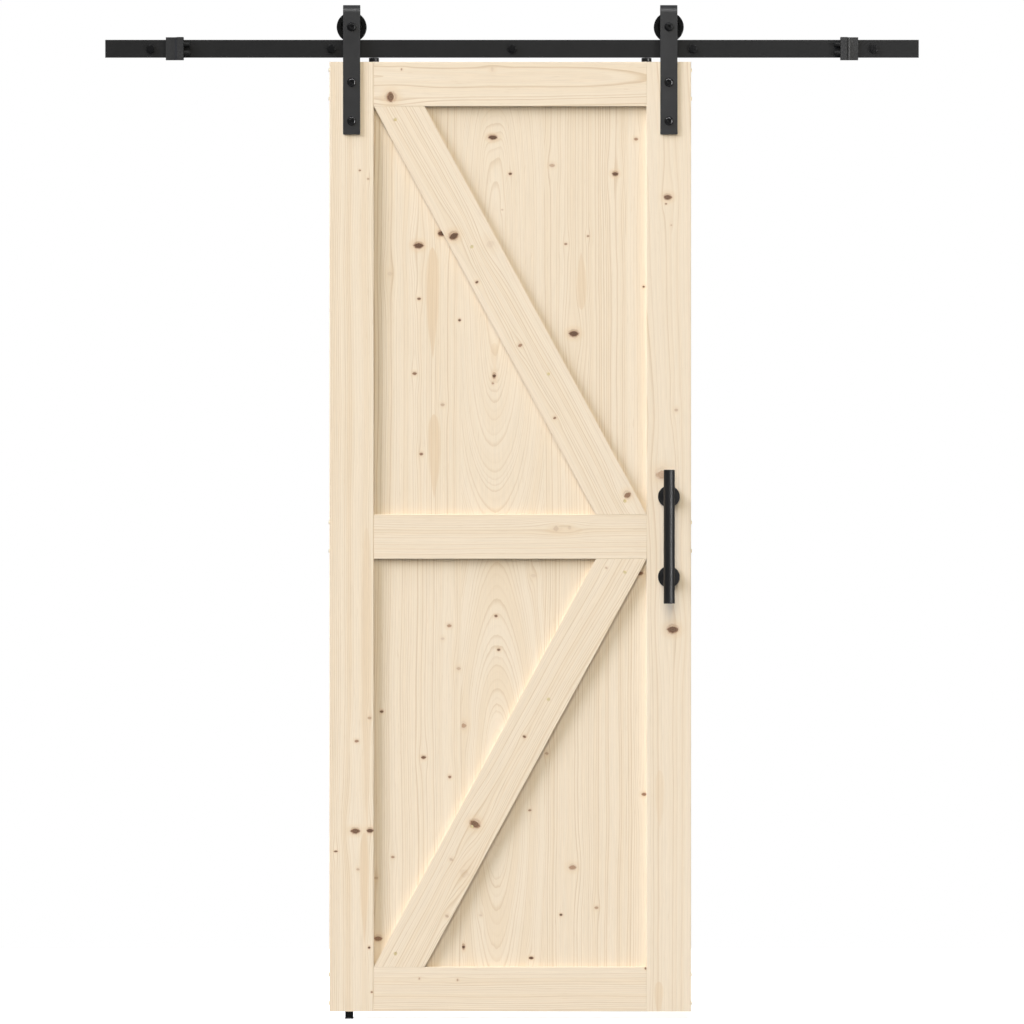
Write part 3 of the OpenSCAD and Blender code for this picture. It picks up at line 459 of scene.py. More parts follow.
@grouped
def spruce_group(name):
    """Spruce Grain: growth rings round a pith along the member, with fibre and soft colour bands."""
    inputs = {
        "Place": VECTOR, "Shift": 0.0, "Pith": -200.0, "Depth": 50.0, "Slope": 0.0, "Near": 0.0, "Wave": 5.0,
        "Ring": 6.0, "Warm": 0.4, "Late": 0.7, "Seed": 0.0, "Knot": 0.0, "Halo": 0.0, "Streak": 0.0,
        "Pale Wood": COLOR, "Warm Wood": COLOR, "Late Wood": COLOR, "Streak Wood": COLOR,
        "Knot Edge": COLOR, "Knot Heart": COLOR,
    }
    build, source, sink = new_group(name, "ShaderNodeTree", inputs, SURFACE)
    seed, knot, late_wood = source["Seed"], source["Knot"], source["Late Wood"]
    offset = seed * SEED_STEP
    inputs = {0: source["Place"], 1: build.joined(0.0, offset, 0.0)}
    moved = build.wire("ShaderNodeVectorMath", inputs, operation="ADD")
    across, through, along = build.axes(source["Place"])

    across = across + source["Shift"] + build.sway(moved, BEND) * BEND_BY - source["Pith"]
    lean = (along - source["Near"]) * source["Slope"]
    depth = build.math("SQRT", source["Depth"] * source["Depth"] + lean * lean)
    depth = depth + build.math("SINE", along * WAVE_TURN + seed) * source["Wave"]
    radius = build.length(build.joined(across, depth + through, 0.0))
    radius = radius + build.sway(moved, RIPPLE) * RIPPLE_BY + build.sway(moved, JAG) * JAG_BY

    rings = radius / source["Ring"] + build.noise_along(radius * SPACING + offset) * UNEVEN
    part = build.math("FRACT", rings)
    number = build.math("FLOOR", rings) + offset
    picked = build.wire("ShaderNodeTexWhiteNoise", {"W": number}, "Value", noise_dimensions="1D")
    picked = build.smooth(picked, 0.05, 0.95, 0.12, 1.0)
    late = build.smooth(part, LATE_START, LATE_PEAK) * build.smooth(part, 1.0, LATE_PEAK)
    late = late * picked * source["Late"]

    band = build.noise_along(radius * BANDS + seed, 2.0)
    warm = (build.smooth(band, 0.35, 0.7) + build.sway(moved, CLOUD)) * source["Warm"]
    fibre = build.noise(build.scaled(moved, FIBRE), 3.0, 0.7)
    pores = build.smooth(build.noise(build.scaled(moved, PORES), 1.0), 0.66, 0.8)

    color = build.mix(warm, source["Pale Wood"], source["Warm Wood"])
    color = build.mix(late, color, late_wood)
    color = build.mix(pores * PORES_SHOW, color, late_wood)
    color = build.mix(source["Streak"], color, source["Streak Wood"])
    color = build.shaded(color, build.smooth(fibre, 0.2, 0.8, *FIBRE_SHADE))
    color = build.mix(source["Halo"] * HALO_SHOWS, color, source["Streak Wood"])
    heart = build.mix(build.smooth(knot, 0.3, 0.9), source["Knot Edge"], source["Knot Heart"])
    color = build.mix(build.smooth(knot, 0.0, 0.55), color, heart)
    # Sides and ends that face across the view are darkened, partly as the darker tone of sawn wood and partly
    # as painted shade that dims the light they bounce
    facing = build.axes(build.coordinates("Normal"))[1]
    flat = build.smooth(build.math("ABSOLUTE", facing), 0.25, 0.75, SAWN_AND_PAINTED_SIDE_SHADE, 1.0)
    color = build.shaded(color, flat)
    build.feed(sink["Color"], color)
    build.feed(sink["Roughness"], late * LATE_ROUGH + knot * KNOT_ROUGH + ROUGH)
    build.feed(sink["Height"], late * LATE_RELIEF + fibre * FIBRE_RELIEF + knot * KNOT_RELIEF)
    return build.tree


@grouped
def coat_group(name):
    """Coated Surface: a coating's orange peel, soft mottling and specks of dust."""
    inputs = {
        "Color": COLOR, "Dust Color": COLOR, "Roughness": 0.5, "Grain": 1.0, "Mottle": 0.15, "Dust": 0.05,
    }
    build, source, sink = new_group(name, "ShaderNodeTree", inputs, SURFACE)
    place = build.scaled(build.coordinates("Object"), PER_MM)
    peel = build.noise(place, 2.0, 0.5, build.math("DIVIDE", 1.0, source["Grain"]))
    patches = build.noise(place, 3.0, 0.6, 0.03)
    change = (patches - 0.5) * source["Mottle"]
    color = build.shaded(source["Color"], change * 2.0 + 1.0)
    specks = build.smooth(build.noise(place, 2.0, 0.6, 0.9), 0.62, 0.78)
    dust = specks * patches * source["Dust"]
    build.feed(sink["Color"], build.mix(dust, color, source["Dust Color"]))
    build.feed(sink["Roughness"], source["Roughness"] + change + dust)
    build.feed(sink["Height"], peel)
    return build.tree


# Noise sizes of the scratches, in turns for each millimetre
SCRATCHES = (0.4, 3.0, 6.0)


@grouped
def plating_group(name):
    """Plated Surface: a plated metal's two tones in cloudy patches, with fine scratches."""
    inputs = {"First Tone": COLOR, "Second Tone": COLOR, "Roughness": 0.3}
    build, source, sink = new_group(name, "ShaderNodeTree", inputs, SURFACE)
    place = build.scaled(build.coordinates("Object"), PER_MM)
    clouds = build.smooth(build.noise(place, 3.0, 0.6, 0.35), 0.35, 0.65)
    scratches = build.noise(build.scaled(place, SCRATCHES), 2.0, 0.6)
    build.feed(sink["Color"], build.mix(clouds, source["First Tone"], source["Second Tone"]))
    build.feed(sink["Roughness"], (scratches - 0.5) * 0.2 + source["Roughness"])
    build.feed(sink["Height"], scratches)
    return build.tree


# ---- Materials ----

DUST = (0.35, 0.34, 0.32, 1.0)
# Relief of plated metal, in metres
PLATING_RELIEF = 0.005 * MM
# A knot's radius from its width, a little over half because its rim is soft
KNOT_SPREAD = 0.56

# A coat takes its colour from a setting. Grain and relief are in millimetres.
Coat = namedtuple("Coat", "setting rough grain specular relief", defaults=(0.02,))
COATS = {
    "black_steel": Coat("iron", 0.6, 0.9, 0.15),
    "strap_steel": Coat("strap", 0.45, 0.9, 0.35),
    "blackened_bolt": Coat("bolt", 0.4, 0.6, 0.22),
    "bright_bolt": Coat("bolt", 0.24, 0.6, 0.6),
    "handle_black": Coat("pull", 0.46, 0.8, 0.42, 0.008),
    "wheel_black": Coat("wheel", 0.26, 0.8, 0.3),
    "disc_black": Coat("pull", 0.34, 0.8, 0.35),
    "bumper_rubber": Coat("rubber", 0.6, 0.5, 0.2),
    "guide_black": Coat("rubber", 0.5, 0.4, 0.3, 0.03),
    "shield_black": Coat("bolt", 0.3, 0.5, 0.4),
}
# A plating's two tones, roughness and how metallic it looks
Plating = namedtuple("Plating", "first second rough metallic", defaults=(1.0,))
PLATINGS = {
    "yellow_zinc": Plating((0.74, 0.60, 0.30), (0.78, 0.68, 0.44), 0.45, 0.42),
    "zinc_steel": Plating((0.62, 0.63, 0.66), (0.52, 0.53, 0.55), 0.34),
    "bright_steel": Plating((0.80, 0.80, 0.81), (0.72, 0.72, 0.74), 0.12),
}


def emptied(name):
    """The named material with an empty node tree, made if it doesn't exist, and its builder."""
    material = bpy.data.materials.get(name) or bpy.data.materials.new(name)
    material.use_nodes = True
    material.node_tree.nodes.clear()
    return material, Builder(material.node_tree)


def add_surface(build, group, relief, metallic=0.0, specular=0.5):
    """Principled surface that takes colour, roughness and bump from a group node."""
    inputs = {"Strength": 1.0, "Distance": relief, "Height": group.outputs["Height"]}
    bump = build.wire("ShaderNodeBump", inputs)
    inputs = {
        "Base Color": group.outputs["Color"], "Roughness": group.outputs["Roughness"], "Normal": bump,
        "Metallic": metallic, "Specular IOR Level": specular,
    }
    shader = build.wire("ShaderNodeBsdfPrincipled", inputs)
    build.add("ShaderNodeOutputMaterial", {"Surface": shader})


def rgba(color):
    """A colour with full alpha."""
    return (*color, 1.0)


def grain_turn(node):
    """Turn about Y that takes Z to the member's length."""
    if node.endswith("_rail"):
        return math.pi / 2
    if not node.endswith("_brace"):
        return 0.0
    low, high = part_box(node)
    tops = [v.co.x for v in frame["nodes"][node].data.vertices if abs(v.co.z - high.z) < 0.1 * MM]
    cut = max(tops) - min(tops)
    lean = math.atan2(high.x - low.x - cut, high.z - low.z)
    return -lean if node.startswith("upper") else lean


def wood_material(node, wood):
    """The member's own spruce, with its cut, knots and streaks."""
    material, build = emptied(f"{node}_spruce")
    low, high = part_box(node)
    centre = (low + high) / 2
    turn = grain_turn(node)
    back = Matrix.Rotation(-turn, 3, "Y")
    inputs = {"Location": centre, "Rotation": (0.0, turn, 0.0), "Scale": (MM, MM, MM)}
    inputs["Vector"] = build.coordinates("Object")
    place = build.wire("ShaderNodeMapping", inputs, vector_type="TEXTURE")

    def spot(mark):
        """Inputs that say where a knot or streak lies, in millimetres from the member's middle."""
        point = Vector((DOOR_MIDDLE.x + mark.x * MM, 0, DOOR_MIDDLE.z + mark.z * MM))
        point = back @ (point - centre)
        return {"Place": place, "Across": point.x / MM, "Along": point.z / MM}

    state = {"Shift": 0.0, "Knot": 0.0, "Halo": 0.0}
    for knot in KNOTS.get(node, ()):
        size = {"Radius": knot.width * KNOT_SPREAD, "Squash": knot.squash, "Dark": knot.dark}
        step = build.add("ShaderNodeGroup", spot(knot) | size | state, node_tree=knot_group())
        state = {title: step.outputs[title] for title in state}
    streaks = {"Streak": 0.0}
    for streak in STREAKS.get(node, ()):
        size = {
            "Half Length": streak.length / 2, "Half Width": streak.width / 2, "Strength": streak.strength,
        }
        step = build.add("ShaderNodeGroup", spot(streak) | size | streaks, node_tree=streak_group())
        streaks = {"Streak": step.outputs["Streak"]}

    cut = {title.capitalize(): value for title, value in CUTS[node]._asdict().items()}
    cut["Ring"] *= wood.ring_scale
    colors = {
        "Pale Wood": rgba(wood.pale), "Warm Wood": rgba(wood.warm), "Late Wood": rgba(wood.late),
        "Streak Wood": rgba(wood.streak), "Knot Edge": rgba(wood.knot_edge),
        "Knot Heart": rgba(wood.knot_heart),
    }
    values = {"Place": place} | state | streaks | cut | colors
    grain = build.add("ShaderNodeGroup", values, node_tree=spruce_group())
    add_surface(build, grain, wood.relief, specular=0.25)
    return material


def coated_material(name, coat, color):
    """Powder coat, blackening, paint, rubber or moulded plastic, under the named slot's name."""
    build = emptied(name)[1]
    values = {"Color": rgba(color), "Dust Color": DUST, "Roughness": coat.rough, "Grain": coat.grain}
    group = build.add("ShaderNodeGroup", values, node_tree=coat_group())
    add_surface(build, group, coat.relief * MM, specular=coat.specular)


def plated_material(name, plating):
    """Zinc plate or bright steel, under the named slot's name."""
    build = emptied(name)[1]
    first, second, rough, metallic = plating
    values = {"First Tone": rgba(first), "Second Tone": rgba(second), "Roughness": rough}
    group = build.add("ShaderNodeGroup", values, node_tree=plating_group())
    add_surface(build, group, PLATING_RELIEF, metallic=metallic)


# ---- Meshes ----

# Angles between faces past which an edge is sharp, is rounded, or lies between two true faces
CREASE = math.radians(35)
ROUNDED = math.radians(40)
FLAT = math.radians(0.5)


def tidy_mesh(name, mesh):
    """A new object from a bmesh: normals outward, smooth faces, sharp edges past the crease angle."""
    bmesh.ops.recalc_face_normals(mesh, faces=mesh.faces)
    for face in mesh.faces:
        face.smooth = True
    for edge in mesh.edges:
        edge.smooth = edge.calc_face_angle(0.0) < CREASE
    data = bpy.data.meshes.new(name)
    mesh.to_mesh(data)
    mesh.free()
    return linked(name, data)


def linked(name, data):
    """A new object of the scene."""
    piece = bpy.data.objects.new(name, data)
    bpy.context.scene.collection.objects.link(piece)
    return piece


def settled(piece):
    """The piece with its modifiers made part of its mesh."""
    evaluated = piece.evaluated_get(bpy.context.evaluated_depsgraph_get())
    data = bpy.data.meshes.new_from_object(evaluated)
    piece.modifiers.clear()
    piece.data = data
    return piece


def slot_of(node):
    """The record's material slot of a CAD node, which is also its imported material's name."""
    return frame["nodes"][node].data.materials[0].name


def stand_in(piece, node):
    """Puts the piece in the place of a CAD node, on its body and with its material slot."""
    slot = slot_of(node)
    piece.data.materials.clear()
    piece.data.materials.append(bpy.data.materials[slot])
    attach(piece, frame["nodes"][node]["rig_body"])
    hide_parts(node)
    return piece


def refinish(piece, finish):
    """Gives a piece a finish other than its slot's."""
    piece.data.materials[0] = bpy.data.materials[finish]


def merged_copy(node):
    """A bmesh of a CAD node with its loose triangles joined."""
    mesh = bmesh.new()
    mesh.from_mesh(frame["nodes"][node].data)
    bmesh.ops.remove_doubles(mesh, verts=mesh.verts, dist=0.001 * MM)
    return mesh


def softened(node, width, segments=3, angle=ROUNDED):
    """A copy of a CAD node with rounded edges, standing for it."""
    mesh = merged_copy(node)
    bmesh.ops.dissolve_limit(mesh, angle_limit=FLAT, verts=mesh.verts, edges=mesh.edges)
    piece = tidy_mesh(f"{node}_finished", mesh)
    bevel = piece.modifiers.new("Rounded edges", "BEVEL")
    bevel.width = width
    bevel.segments = segments
    bevel.limit_method = "ANGLE"
    bevel.angle_limit = angle
    bevel.harden_normals = True
    bevel.use_clamp_overlap = True
    return stand_in(settled(piece), node)


@cache
def solids_of(node):
    """Lowest and highest corner of each solid in a CAD node, found from its loose parts."""
    mesh = merged_copy(node)
    waiting = set(mesh.verts)
    boxes = []
    while waiting:
        front = [waiting.pop()]
        part = []
        while front:
            vert = front.pop()
            part.append(vert.co.copy())
            near = {edge.other_vert(vert) for edge in vert.link_edges} & waiting
            waiting -= near
            front.extend(near)
        boxes.append(tuple(Vector(map(pick, zip(*part))) for pick in (min, max)))
    mesh.free()
    return sorted(boxes, key=lambda box: tuple(round(value, 5) for value in box[0]))


def lathed(outline, steps=48, bore=False):
    """A bmesh turned about Z from (height, radius) pairs, each a number or a function of the angle.

    With a bore, the last ring joins the first. Without one, both ends are closed.
    """
    mesh = bmesh.new()
    rings = []
    for height, radius in outline:
        ring = []
        for step in range(steps):
            angle = 2 * math.pi * step / steps
            r = radius(angle) if callable(radius) else radius
            h = height(angle) if callable(height) else height
            ring.append(mesh.verts.new((r * math.cos(angle), r * math.sin(angle), h)))
        rings.append(ring)
    pairs = list(zip(rings, rings[1:]))
    if bore:
        pairs.append((rings[-1], rings[0]))
    for lower, upper in pairs:
        for step in range(steps):
            after = (step + 1) % steps
            mesh.faces.new((lower[step], lower[after], upper[after], upper[step]))
    if not bore:
        mesh.faces.new(rings[0][::-1])
        mesh.faces.new(rings[-1])
    return mesh


# ---- Fasteners ----

# A hexagon's chamfer, and the radius where it meets the flat top, as a share of the width across the flats
CHAMFER = math.tan(math.radians(30))
HEX_TOP = 0.47
# A cross recess: its wings' half width and its middle's radius, as shares of its width from tip to tip
CROSS_WING = 0.09
CROSS_MIDDLE = 0.19
# That width as a share of the head's, on most screws and on the brace screws
RECESS = 0.5
BRACE_RECESS = 0.34
# A button head's dome: how far it curves over, its rim as a share of the head's height, its inset as a share
# of the head's width, and its steps
DOME_TURN = math.radians(78)
DOME_RIM = 0.12
DOME_INSET = 0.26
DOME_STEPS = 6
# A pan head's dome, as shares of its height and its width
PAN_DOME = ((0.0, 0.5), (0.45, 0.49), (0.75, 0.44), (0.93, 0.36), (1.0, 0.29))
# A thread: rings in each turn, the share of its width that its point starts with, the point's length in crest
# radii, and the ridge's half width as a share of the pitch
THREAD_RINGS = 9
THREAD_POINT = 0.12
THREAD_LEAD = 3
THREAD_RIDGE = 0.3
# Radii of bolt and screw shanks, and of a nut's bore
BOLT = 5 * MM
HANDLE_BOLT = 4 * MM
NUT_BORE = 5.1 * MM
WOOD_SCREW = 2.5 * MM
BRACE_SCREW = 2 * MM
SCREW_TIP = 0.2 * MM
# A brace screw's head in its countersink: its depth as a share of its width, how deep its widest place lies,
# and how far that place and the head's face stay inside the countersink's edge
SUNK_SHARE = 0.27
SUNK_RIM = 0.8 * MM
SUNK_RIM_INSET = 0.85 * MM
SUNK_FACE_INSET = 1.2 * MM


def hexagon(flats):
    """Radius of a hexagon at an angle, from its width across the flats."""
    def radius(angle):
        return flats / 2 / math.cos((angle + math.pi / 6) % (math.pi / 3) - math.pi / 6)
    return radius


def cross(width):
    """Radius of a cross recess at an angle, from its width from tip to tip."""
    def radius(angle):
        lean = abs((angle + math.pi / 4) % (math.pi / 2) - math.pi / 4)
        wing = width * CROSS_WING / max(math.sin(lean), 0.01)
        return max(width * CROSS_MIDDLE, min(width / 2, wing))
    return radius


def corner_drop(height, flats):
    """Height of a hexagon's edge where a turned chamfer cuts its corners."""
    def rim(angle):
        return height - (hexagon(flats)(angle) - flats / 2) * CHAMFER
    return rim


def hex_head(flats, height):
    """Outline of a hexagonal head with a turned chamfer, from its seat up."""
    side = hexagon(flats)
    return [(0.0, side), (corner_drop(height, flats), side), (height, flats * HEX_TOP)]


def button_head(width, height, flats):
    """Outline of a button head with a hexagonal socket, from its seat up."""
    outline = [(0.0, width / 2)]
    for step in range(DOME_STEPS + 1):
        angle = step / DOME_STEPS * DOME_TURN
        rise = DOME_RIM + (1 - DOME_RIM) * math.sin(angle) / math.sin(DOME_TURN)
        outline.append((height * rise, width / 2 - width * DOME_INSET * (1 - math.cos(angle))))
    depth = height * 0.55
    return outline + [
        (height, flats * 0.64), (height * 0.97, hexagon(flats)), (height - depth, hexagon(flats)),
        (height - depth * 1.15, flats * 0.1),
    ]


def cross_socket(height, recess):
    """Outline of a cross recess that narrows downwards from the given height."""
    deep = recess * 0.45
    return [
        (height, cross(recess)), (height - deep, cross(recess * 0.6)), (height - deep * 1.2, recess * 0.05),
    ]


def flat_head(width, recess):
    """Outline of the top of a flat head with a cross recess."""
    return [(0.0, width / 2), (0.0, recess * 0.56)] + cross_socket(0.0, recess)


def pan_head(width, height):
    """Outline of a low domed head with a cross recess, from its seat up."""
    return [(height * rise, width * out) for rise, out in PAN_DOME] + cross_socket(height, width * RECESS)


def wood_shank(end):
    """Outline of a plain screw shank with a short point, from its lower end up to the head."""
    return [(end, SCREW_TIP), (end + 5 * MM, WOOD_SCREW * 0.9), (-0.1 * MM, WOOD_SCREW)]


def thread(start, end, root, crest, pitch):
    """Outline of a coarse wood thread between two heights, with its point at the lower one."""
    rings = []
    count = max(2, round((end - start) / pitch * THREAD_RINGS))
    for step in range(count + 1):
        height = start + (end - start) * step / count
        taper = min(1.0, THREAD_POINT + (height - start) / (THREAD_LEAD * crest))

        def radius(angle, height=height, taper=taper):
            turn = (height / pitch - angle / (2 * math.pi)) % 1.0
            ridge = max(0.0, 1 - abs(turn - 0.5) / THREAD_RIDGE)
            return taper * (root + (crest - root) * ridge)

        rings.append((height, radius))
    return rings


def end_tree(build, source, sink, copies):
    """Ends a geometry tree: the copies become one mesh with the tree's finish."""
    whole = build.wire("GeometryNodeRealizeInstances", {"Geometry": copies})
    inputs = {"Geometry": whole, "Material": source["Finish"]}
    build.feed(sink["Geometry"], build.wire("GeometryNodeSetMaterial", inputs))
    return build.tree


@grouped
def set_out_group(name):
    """Set Out Fasteners: copies of one fastener at each point, each turned about its own axis."""
    inputs = {
        "Geometry": GEOMETRY, "Fastener": OBJECT, "Axis": VECTOR, "Turn": math.pi, "Seed": WHOLE,
        "Finish": MATERIAL,
    }
    build, source, sink = new_group(name, "GeometryNodeTree", inputs, {"Geometry": GEOMETRY})
    part = build.wire("GeometryNodeObjectInfo", {"Object": source["Fastener"]}, "Geometry")
    chance = build.wire("FunctionNodeRandomValue", {"Seed": source["Seed"]}, 1, data_type="FLOAT")
    spin = build.wire("FunctionNodeEulerToRotation", {0: build.joined(0.0, 0.0, chance * source["Turn"])})
    axis = build.wire("FunctionNodeEulerToRotation", {0: source["Axis"]})
    both = build.wire("FunctionNodeRotateRotation", {0: axis, 1: spin}, rotation_space="LOCAL")
    inputs = {"Points": source["Geometry"], "Instance": part, "Rotation": both}
    return end_tree(build, source, sink, build.wire("GeometryNodeInstanceOnPoints", inputs))


@grouped
def ball_ring_group(name):
    """Ball Ring: a bearing's balls, evenly spaced round its axis."""
    inputs = {
        "Geometry": GEOMETRY, "Count": WHOLE, "Pitch Radius": 10 * MM, "Ball Radius": 2 * MM,
        "Axis": VECTOR, "Finish": MATERIAL,
    }
    build, source, sink = new_group(name, "GeometryNodeTree", inputs, {"Geometry": GEOMETRY})
    inputs = {"Vertices": source["Count"], "Radius": source["Pitch Radius"]}
    circle = build.wire("GeometryNodeMeshCircle", inputs)
    inputs = {"Radius": source["Ball Radius"], "Subdivisions": 4}
    ball = build.wire("GeometryNodeMeshIcoSphere", inputs, "Mesh")
    ball = build.wire("GeometryNodeSetShadeSmooth", {"Geometry": ball})
    ring = build.wire("GeometryNodeInstanceOnPoints", {"Points": circle, "Instance": ball})
    inputs = {"Points": source["Geometry"], "Instance": ring, "Rotation": source["Axis"]}
    return end_tree(build, source, sink, build.wire("GeometryNodeInstanceOnPoints", inputs))


def grown(node, places, group, values):
    """A mesh that a geometry node group grows from points at the places, standing for a CAD node."""
    name = f"{node}_finished"
    data = bpy.data.meshes.new(name)
    data.from_pydata([tuple(place) for place in places], [], [])
    piece = linked(name, data)
    modifier = piece.modifiers.new("Growth", "NODES")
    modifier.node_group = group
    items = group.interface.items_tree
    sockets = {item.name: item.identifier for item in items if item.in_out == "INPUT"}
    values["Finish"] = bpy.data.materials[slot_of(node)]
    for title, value in values.items():
        modifier[sockets[title]] = value
    return stand_in(settled(piece), node)


def set_out(node, outline, axis, seed, bore=False, **seat):
    """A fastener for each solid of a CAD node, at the solid's middle apart from the x, y or z given."""
    seats = []
    for low, high in solids_of(node):
        middle = (low + high) / 2
        for name, value in seat.items():
            setattr(middle, name, value)
        seats.append(middle)
    shape = tidy_mesh("fastener", lathed(outline, bore=bore))
    piece = grown(node, seats, set_out_group(), {"Fastener": shape, "Axis": axis, "Seed": seed})
    bpy.data.objects.remove(shape)
    return piece


# ---- Settings ----


def color_setting(name, description, default):
    return FloatVectorProperty(
        name=name, description=description, subtype="COLOR", size=3, min=0.0, max=1.0, default=default
    )


def length_setting(name, description, default, high=10.0):
    return FloatProperty(
        name=name, description=description, unit="LENGTH", min=0.0, max=high, default=default, precision=5
    )


def light_setting(name, description, default):
    return FloatProperty(name=name, description=description, min=0.0, default=default)


class WoodSettings(bpy.types.PropertyGroup):
    """The timber's colours and grain"""

    pale: color_setting("Pale wood", "Early wood between the rings", (0.86, 0.73, 0.555))
    warm: color_setting("Warm wood", "Broad bands of warmer wood", (0.80, 0.635, 0.43))
    late: color_setting("Late wood", "Fine dark lines of the rings", (0.62, 0.43, 0.235))
    streak: color_setting("Streak", "Heartwood streaks and the wood round knots", (0.76, 0.57, 0.36))
    knot_edge: color_setting("Knot edge", "Outer part of a knot", (0.46, 0.27, 0.16))
    knot_heart: color_setting("Knot heart", "Darkest part of a knot", (0.13, 0.07, 0.042))
    ring_scale: FloatProperty(
        name="Ring scale", description="Scale of the growth rings' width", min=0.3, max=3.0, default=1.0
    )
    relief: length_setting("Relief", "Depth of the grain's relief", 0.12 * MM, high=MM)


class MetalSettings(bpy.types.PropertyGroup):
    """The ironwork's colours and edges"""

    iron: color_setting("Rail", "Powder coat of rail and spacers", (0.013, 0.013, 0.013))
    strap: color_setting("Straps", "Powder coat of straps and stops", (0.023, 0.023, 0.0235))
    bolt: color_setting("Bolts", "Blackened bolts, wall screws and shields", (0.003, 0.003, 0.0033))
    pull: color_setting("Pull", "Coat of the pull handle and the discs", (0.006, 0.006, 0.0064))
    wheel: color_setting("Wheels", "Surface of the wheels", (0.003, 0.003, 0.003))
    rubber: color_setting("Rubber", "Bumpers and floor guide", (0.006, 0.006, 0.006))
    edge: length_setting("Edge radius", "Rounding of the steel edges", 0.7 * MM, high=2 * MM)
    fine_edge: length_setting("Fine edge radius", "Rounding of small turned parts", 0.35 * MM, high=MM)


class StageSettings(bpy.types.PropertyGroup):
    """Floor, light and camera"""

    front: light_setting("Front light", "Power of the tall soft light above the front", 4250)
    left: light_setting("Left light", "Power of the large soft light far to the left", 276000)
    fill: light_setting("Front fill", "Dim light from all of the front", 0.02)
    back_fill: light_setting("Back fill", "Light from all of the back", 1.1)
    gloss: light_setting("Reflected room", "Brightness of the room that gloss reflects", 0.16)
    strip: light_setting("Strip lights", "Power of the strips that gloss alone sees", 100)
    lens: IntProperty(name="Lens", description="Focal length in millimetres", min=50, max=500, default=300)
    view_width: length_setting("View width", "Width of the view at the door", 2.3006)


# ---- Operators ----

SIDES = ("left", "right")
# Rounding of the braces' edges
WOOD_EDGE = 0.6 * MM


class BARN_OT_finishes(bpy.types.Operator):
    """Gives every metal, rubber and plastic slot its procedural finish"""

    bl_idname = "barn.finishes"
    bl_label = "Metal and rubber finishes"

    def execute(self, context):
        for name, coat in COATS.items():
            coated_material(name, coat, getattr(context.scene.barn_metal, coat.setting))
        for name, plating in PLATINGS.items():
            plated_material(name, plating)
        return {"FINISHED"}


class BARN_OT_timber(bpy.types.Operator):
    """Gives each frame member, board and brace its own spruce, and rounds the braces' edges"""

    bl_idname = "barn.timber"
    bl_label = "Timber"

    def execute(self, context):
        for node in CUTS:
            material = wood_material(node, context.scene.barn_wood)
            piece = frame["nodes"][node]
            if node.endswith("_brace"):
                piece = softened(node, WOOD_EDGE, 2)
            piece.data.materials[0] = material
        return {"FINISHED"}


class BARN_OT_rail(bpy.types.Operator):
    """Rail, spacers and wall screws"""

    bl_idname = "barn.rail"
    bl_label = "Rail"

    def execute(self, context):
        metal = context.scene.barn_metal
        softened("track_rail", metal.fine_edge)
        softened("wall_spacers", metal.edge)
        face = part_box("track_rail")[0].y
        low, high = solids_of("lag_screws")[0]
        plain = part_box("wall_spacers")[1].y - face
        outline = thread(face - high.y, -plain - MM, root=3.4 * MM, crest=4.8 * MM, pitch=3.6 * MM)
        outline += [(-plain, BOLT), (0.0, BOLT)] + hex_head(high.z - low.z, face - low.y)
        set_out("lag_screws", outline, OUTWARD, seed=4, y=face)
        return {"FINISHED"}


class BARN_OT_stops(bpy.types.Operator):
    """Rail stops with their bumpers and set screws"""

    bl_idname = "barn.stops"
    bl_label = "Rail stops"

    def execute(self, context):
        metal = context.scene.barn_metal
        for side, axis in zip(SIDES, (TO_RIGHT, TO_LEFT)):
            refinish(softened(f"stop_bracket_{side}", metal.edge), "strap_steel")
            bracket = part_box(f"stop_bracket_{side}")
            inner = bracket[1].x if side == "left" else bracket[0].x
            low, high = solids_of(f"stop_bumpers_{side}")[0]
            width = high.z - low.z
            length = high.x - inner if side == "left" else inner - low.x
            stud = (high.x - low.x) - length
            # The stud, then the rubber with its rounded end
            outline = [
                (-stud, width * 0.25), (0.0, width * 0.25), (0.0, width * 0.44), (0.6 * MM, width * 0.5),
                (length - 2 * MM, width * 0.5), (length - 1.0 * MM, width * 0.47),
                (length - 0.3 * MM, width * 0.39), (length, width * 0.27),
            ]
            set_out(f"stop_bumpers_{side}", outline, axis, seed=5, x=inner)
        low, high = solids_of("stop_set_screws")[0]
        width = high.x - low.x
        tall = high.z - low.z
        socket = hexagon(width * 0.5)
        # Chamfered ends, and a hexagonal socket in the lower one
        outline = [
            (0.0, width * 0.42), (0.4 * MM, width / 2), (tall - 0.4 * MM, width / 2), (tall, width * 0.42),
            (tall, socket), (tall * 0.5, socket), (tall * 0.45, width * 0.05),
        ]
        set_out("stop_set_screws", outline, DOWNWARD, seed=6, z=high.z)
        return {"FINISHED"}


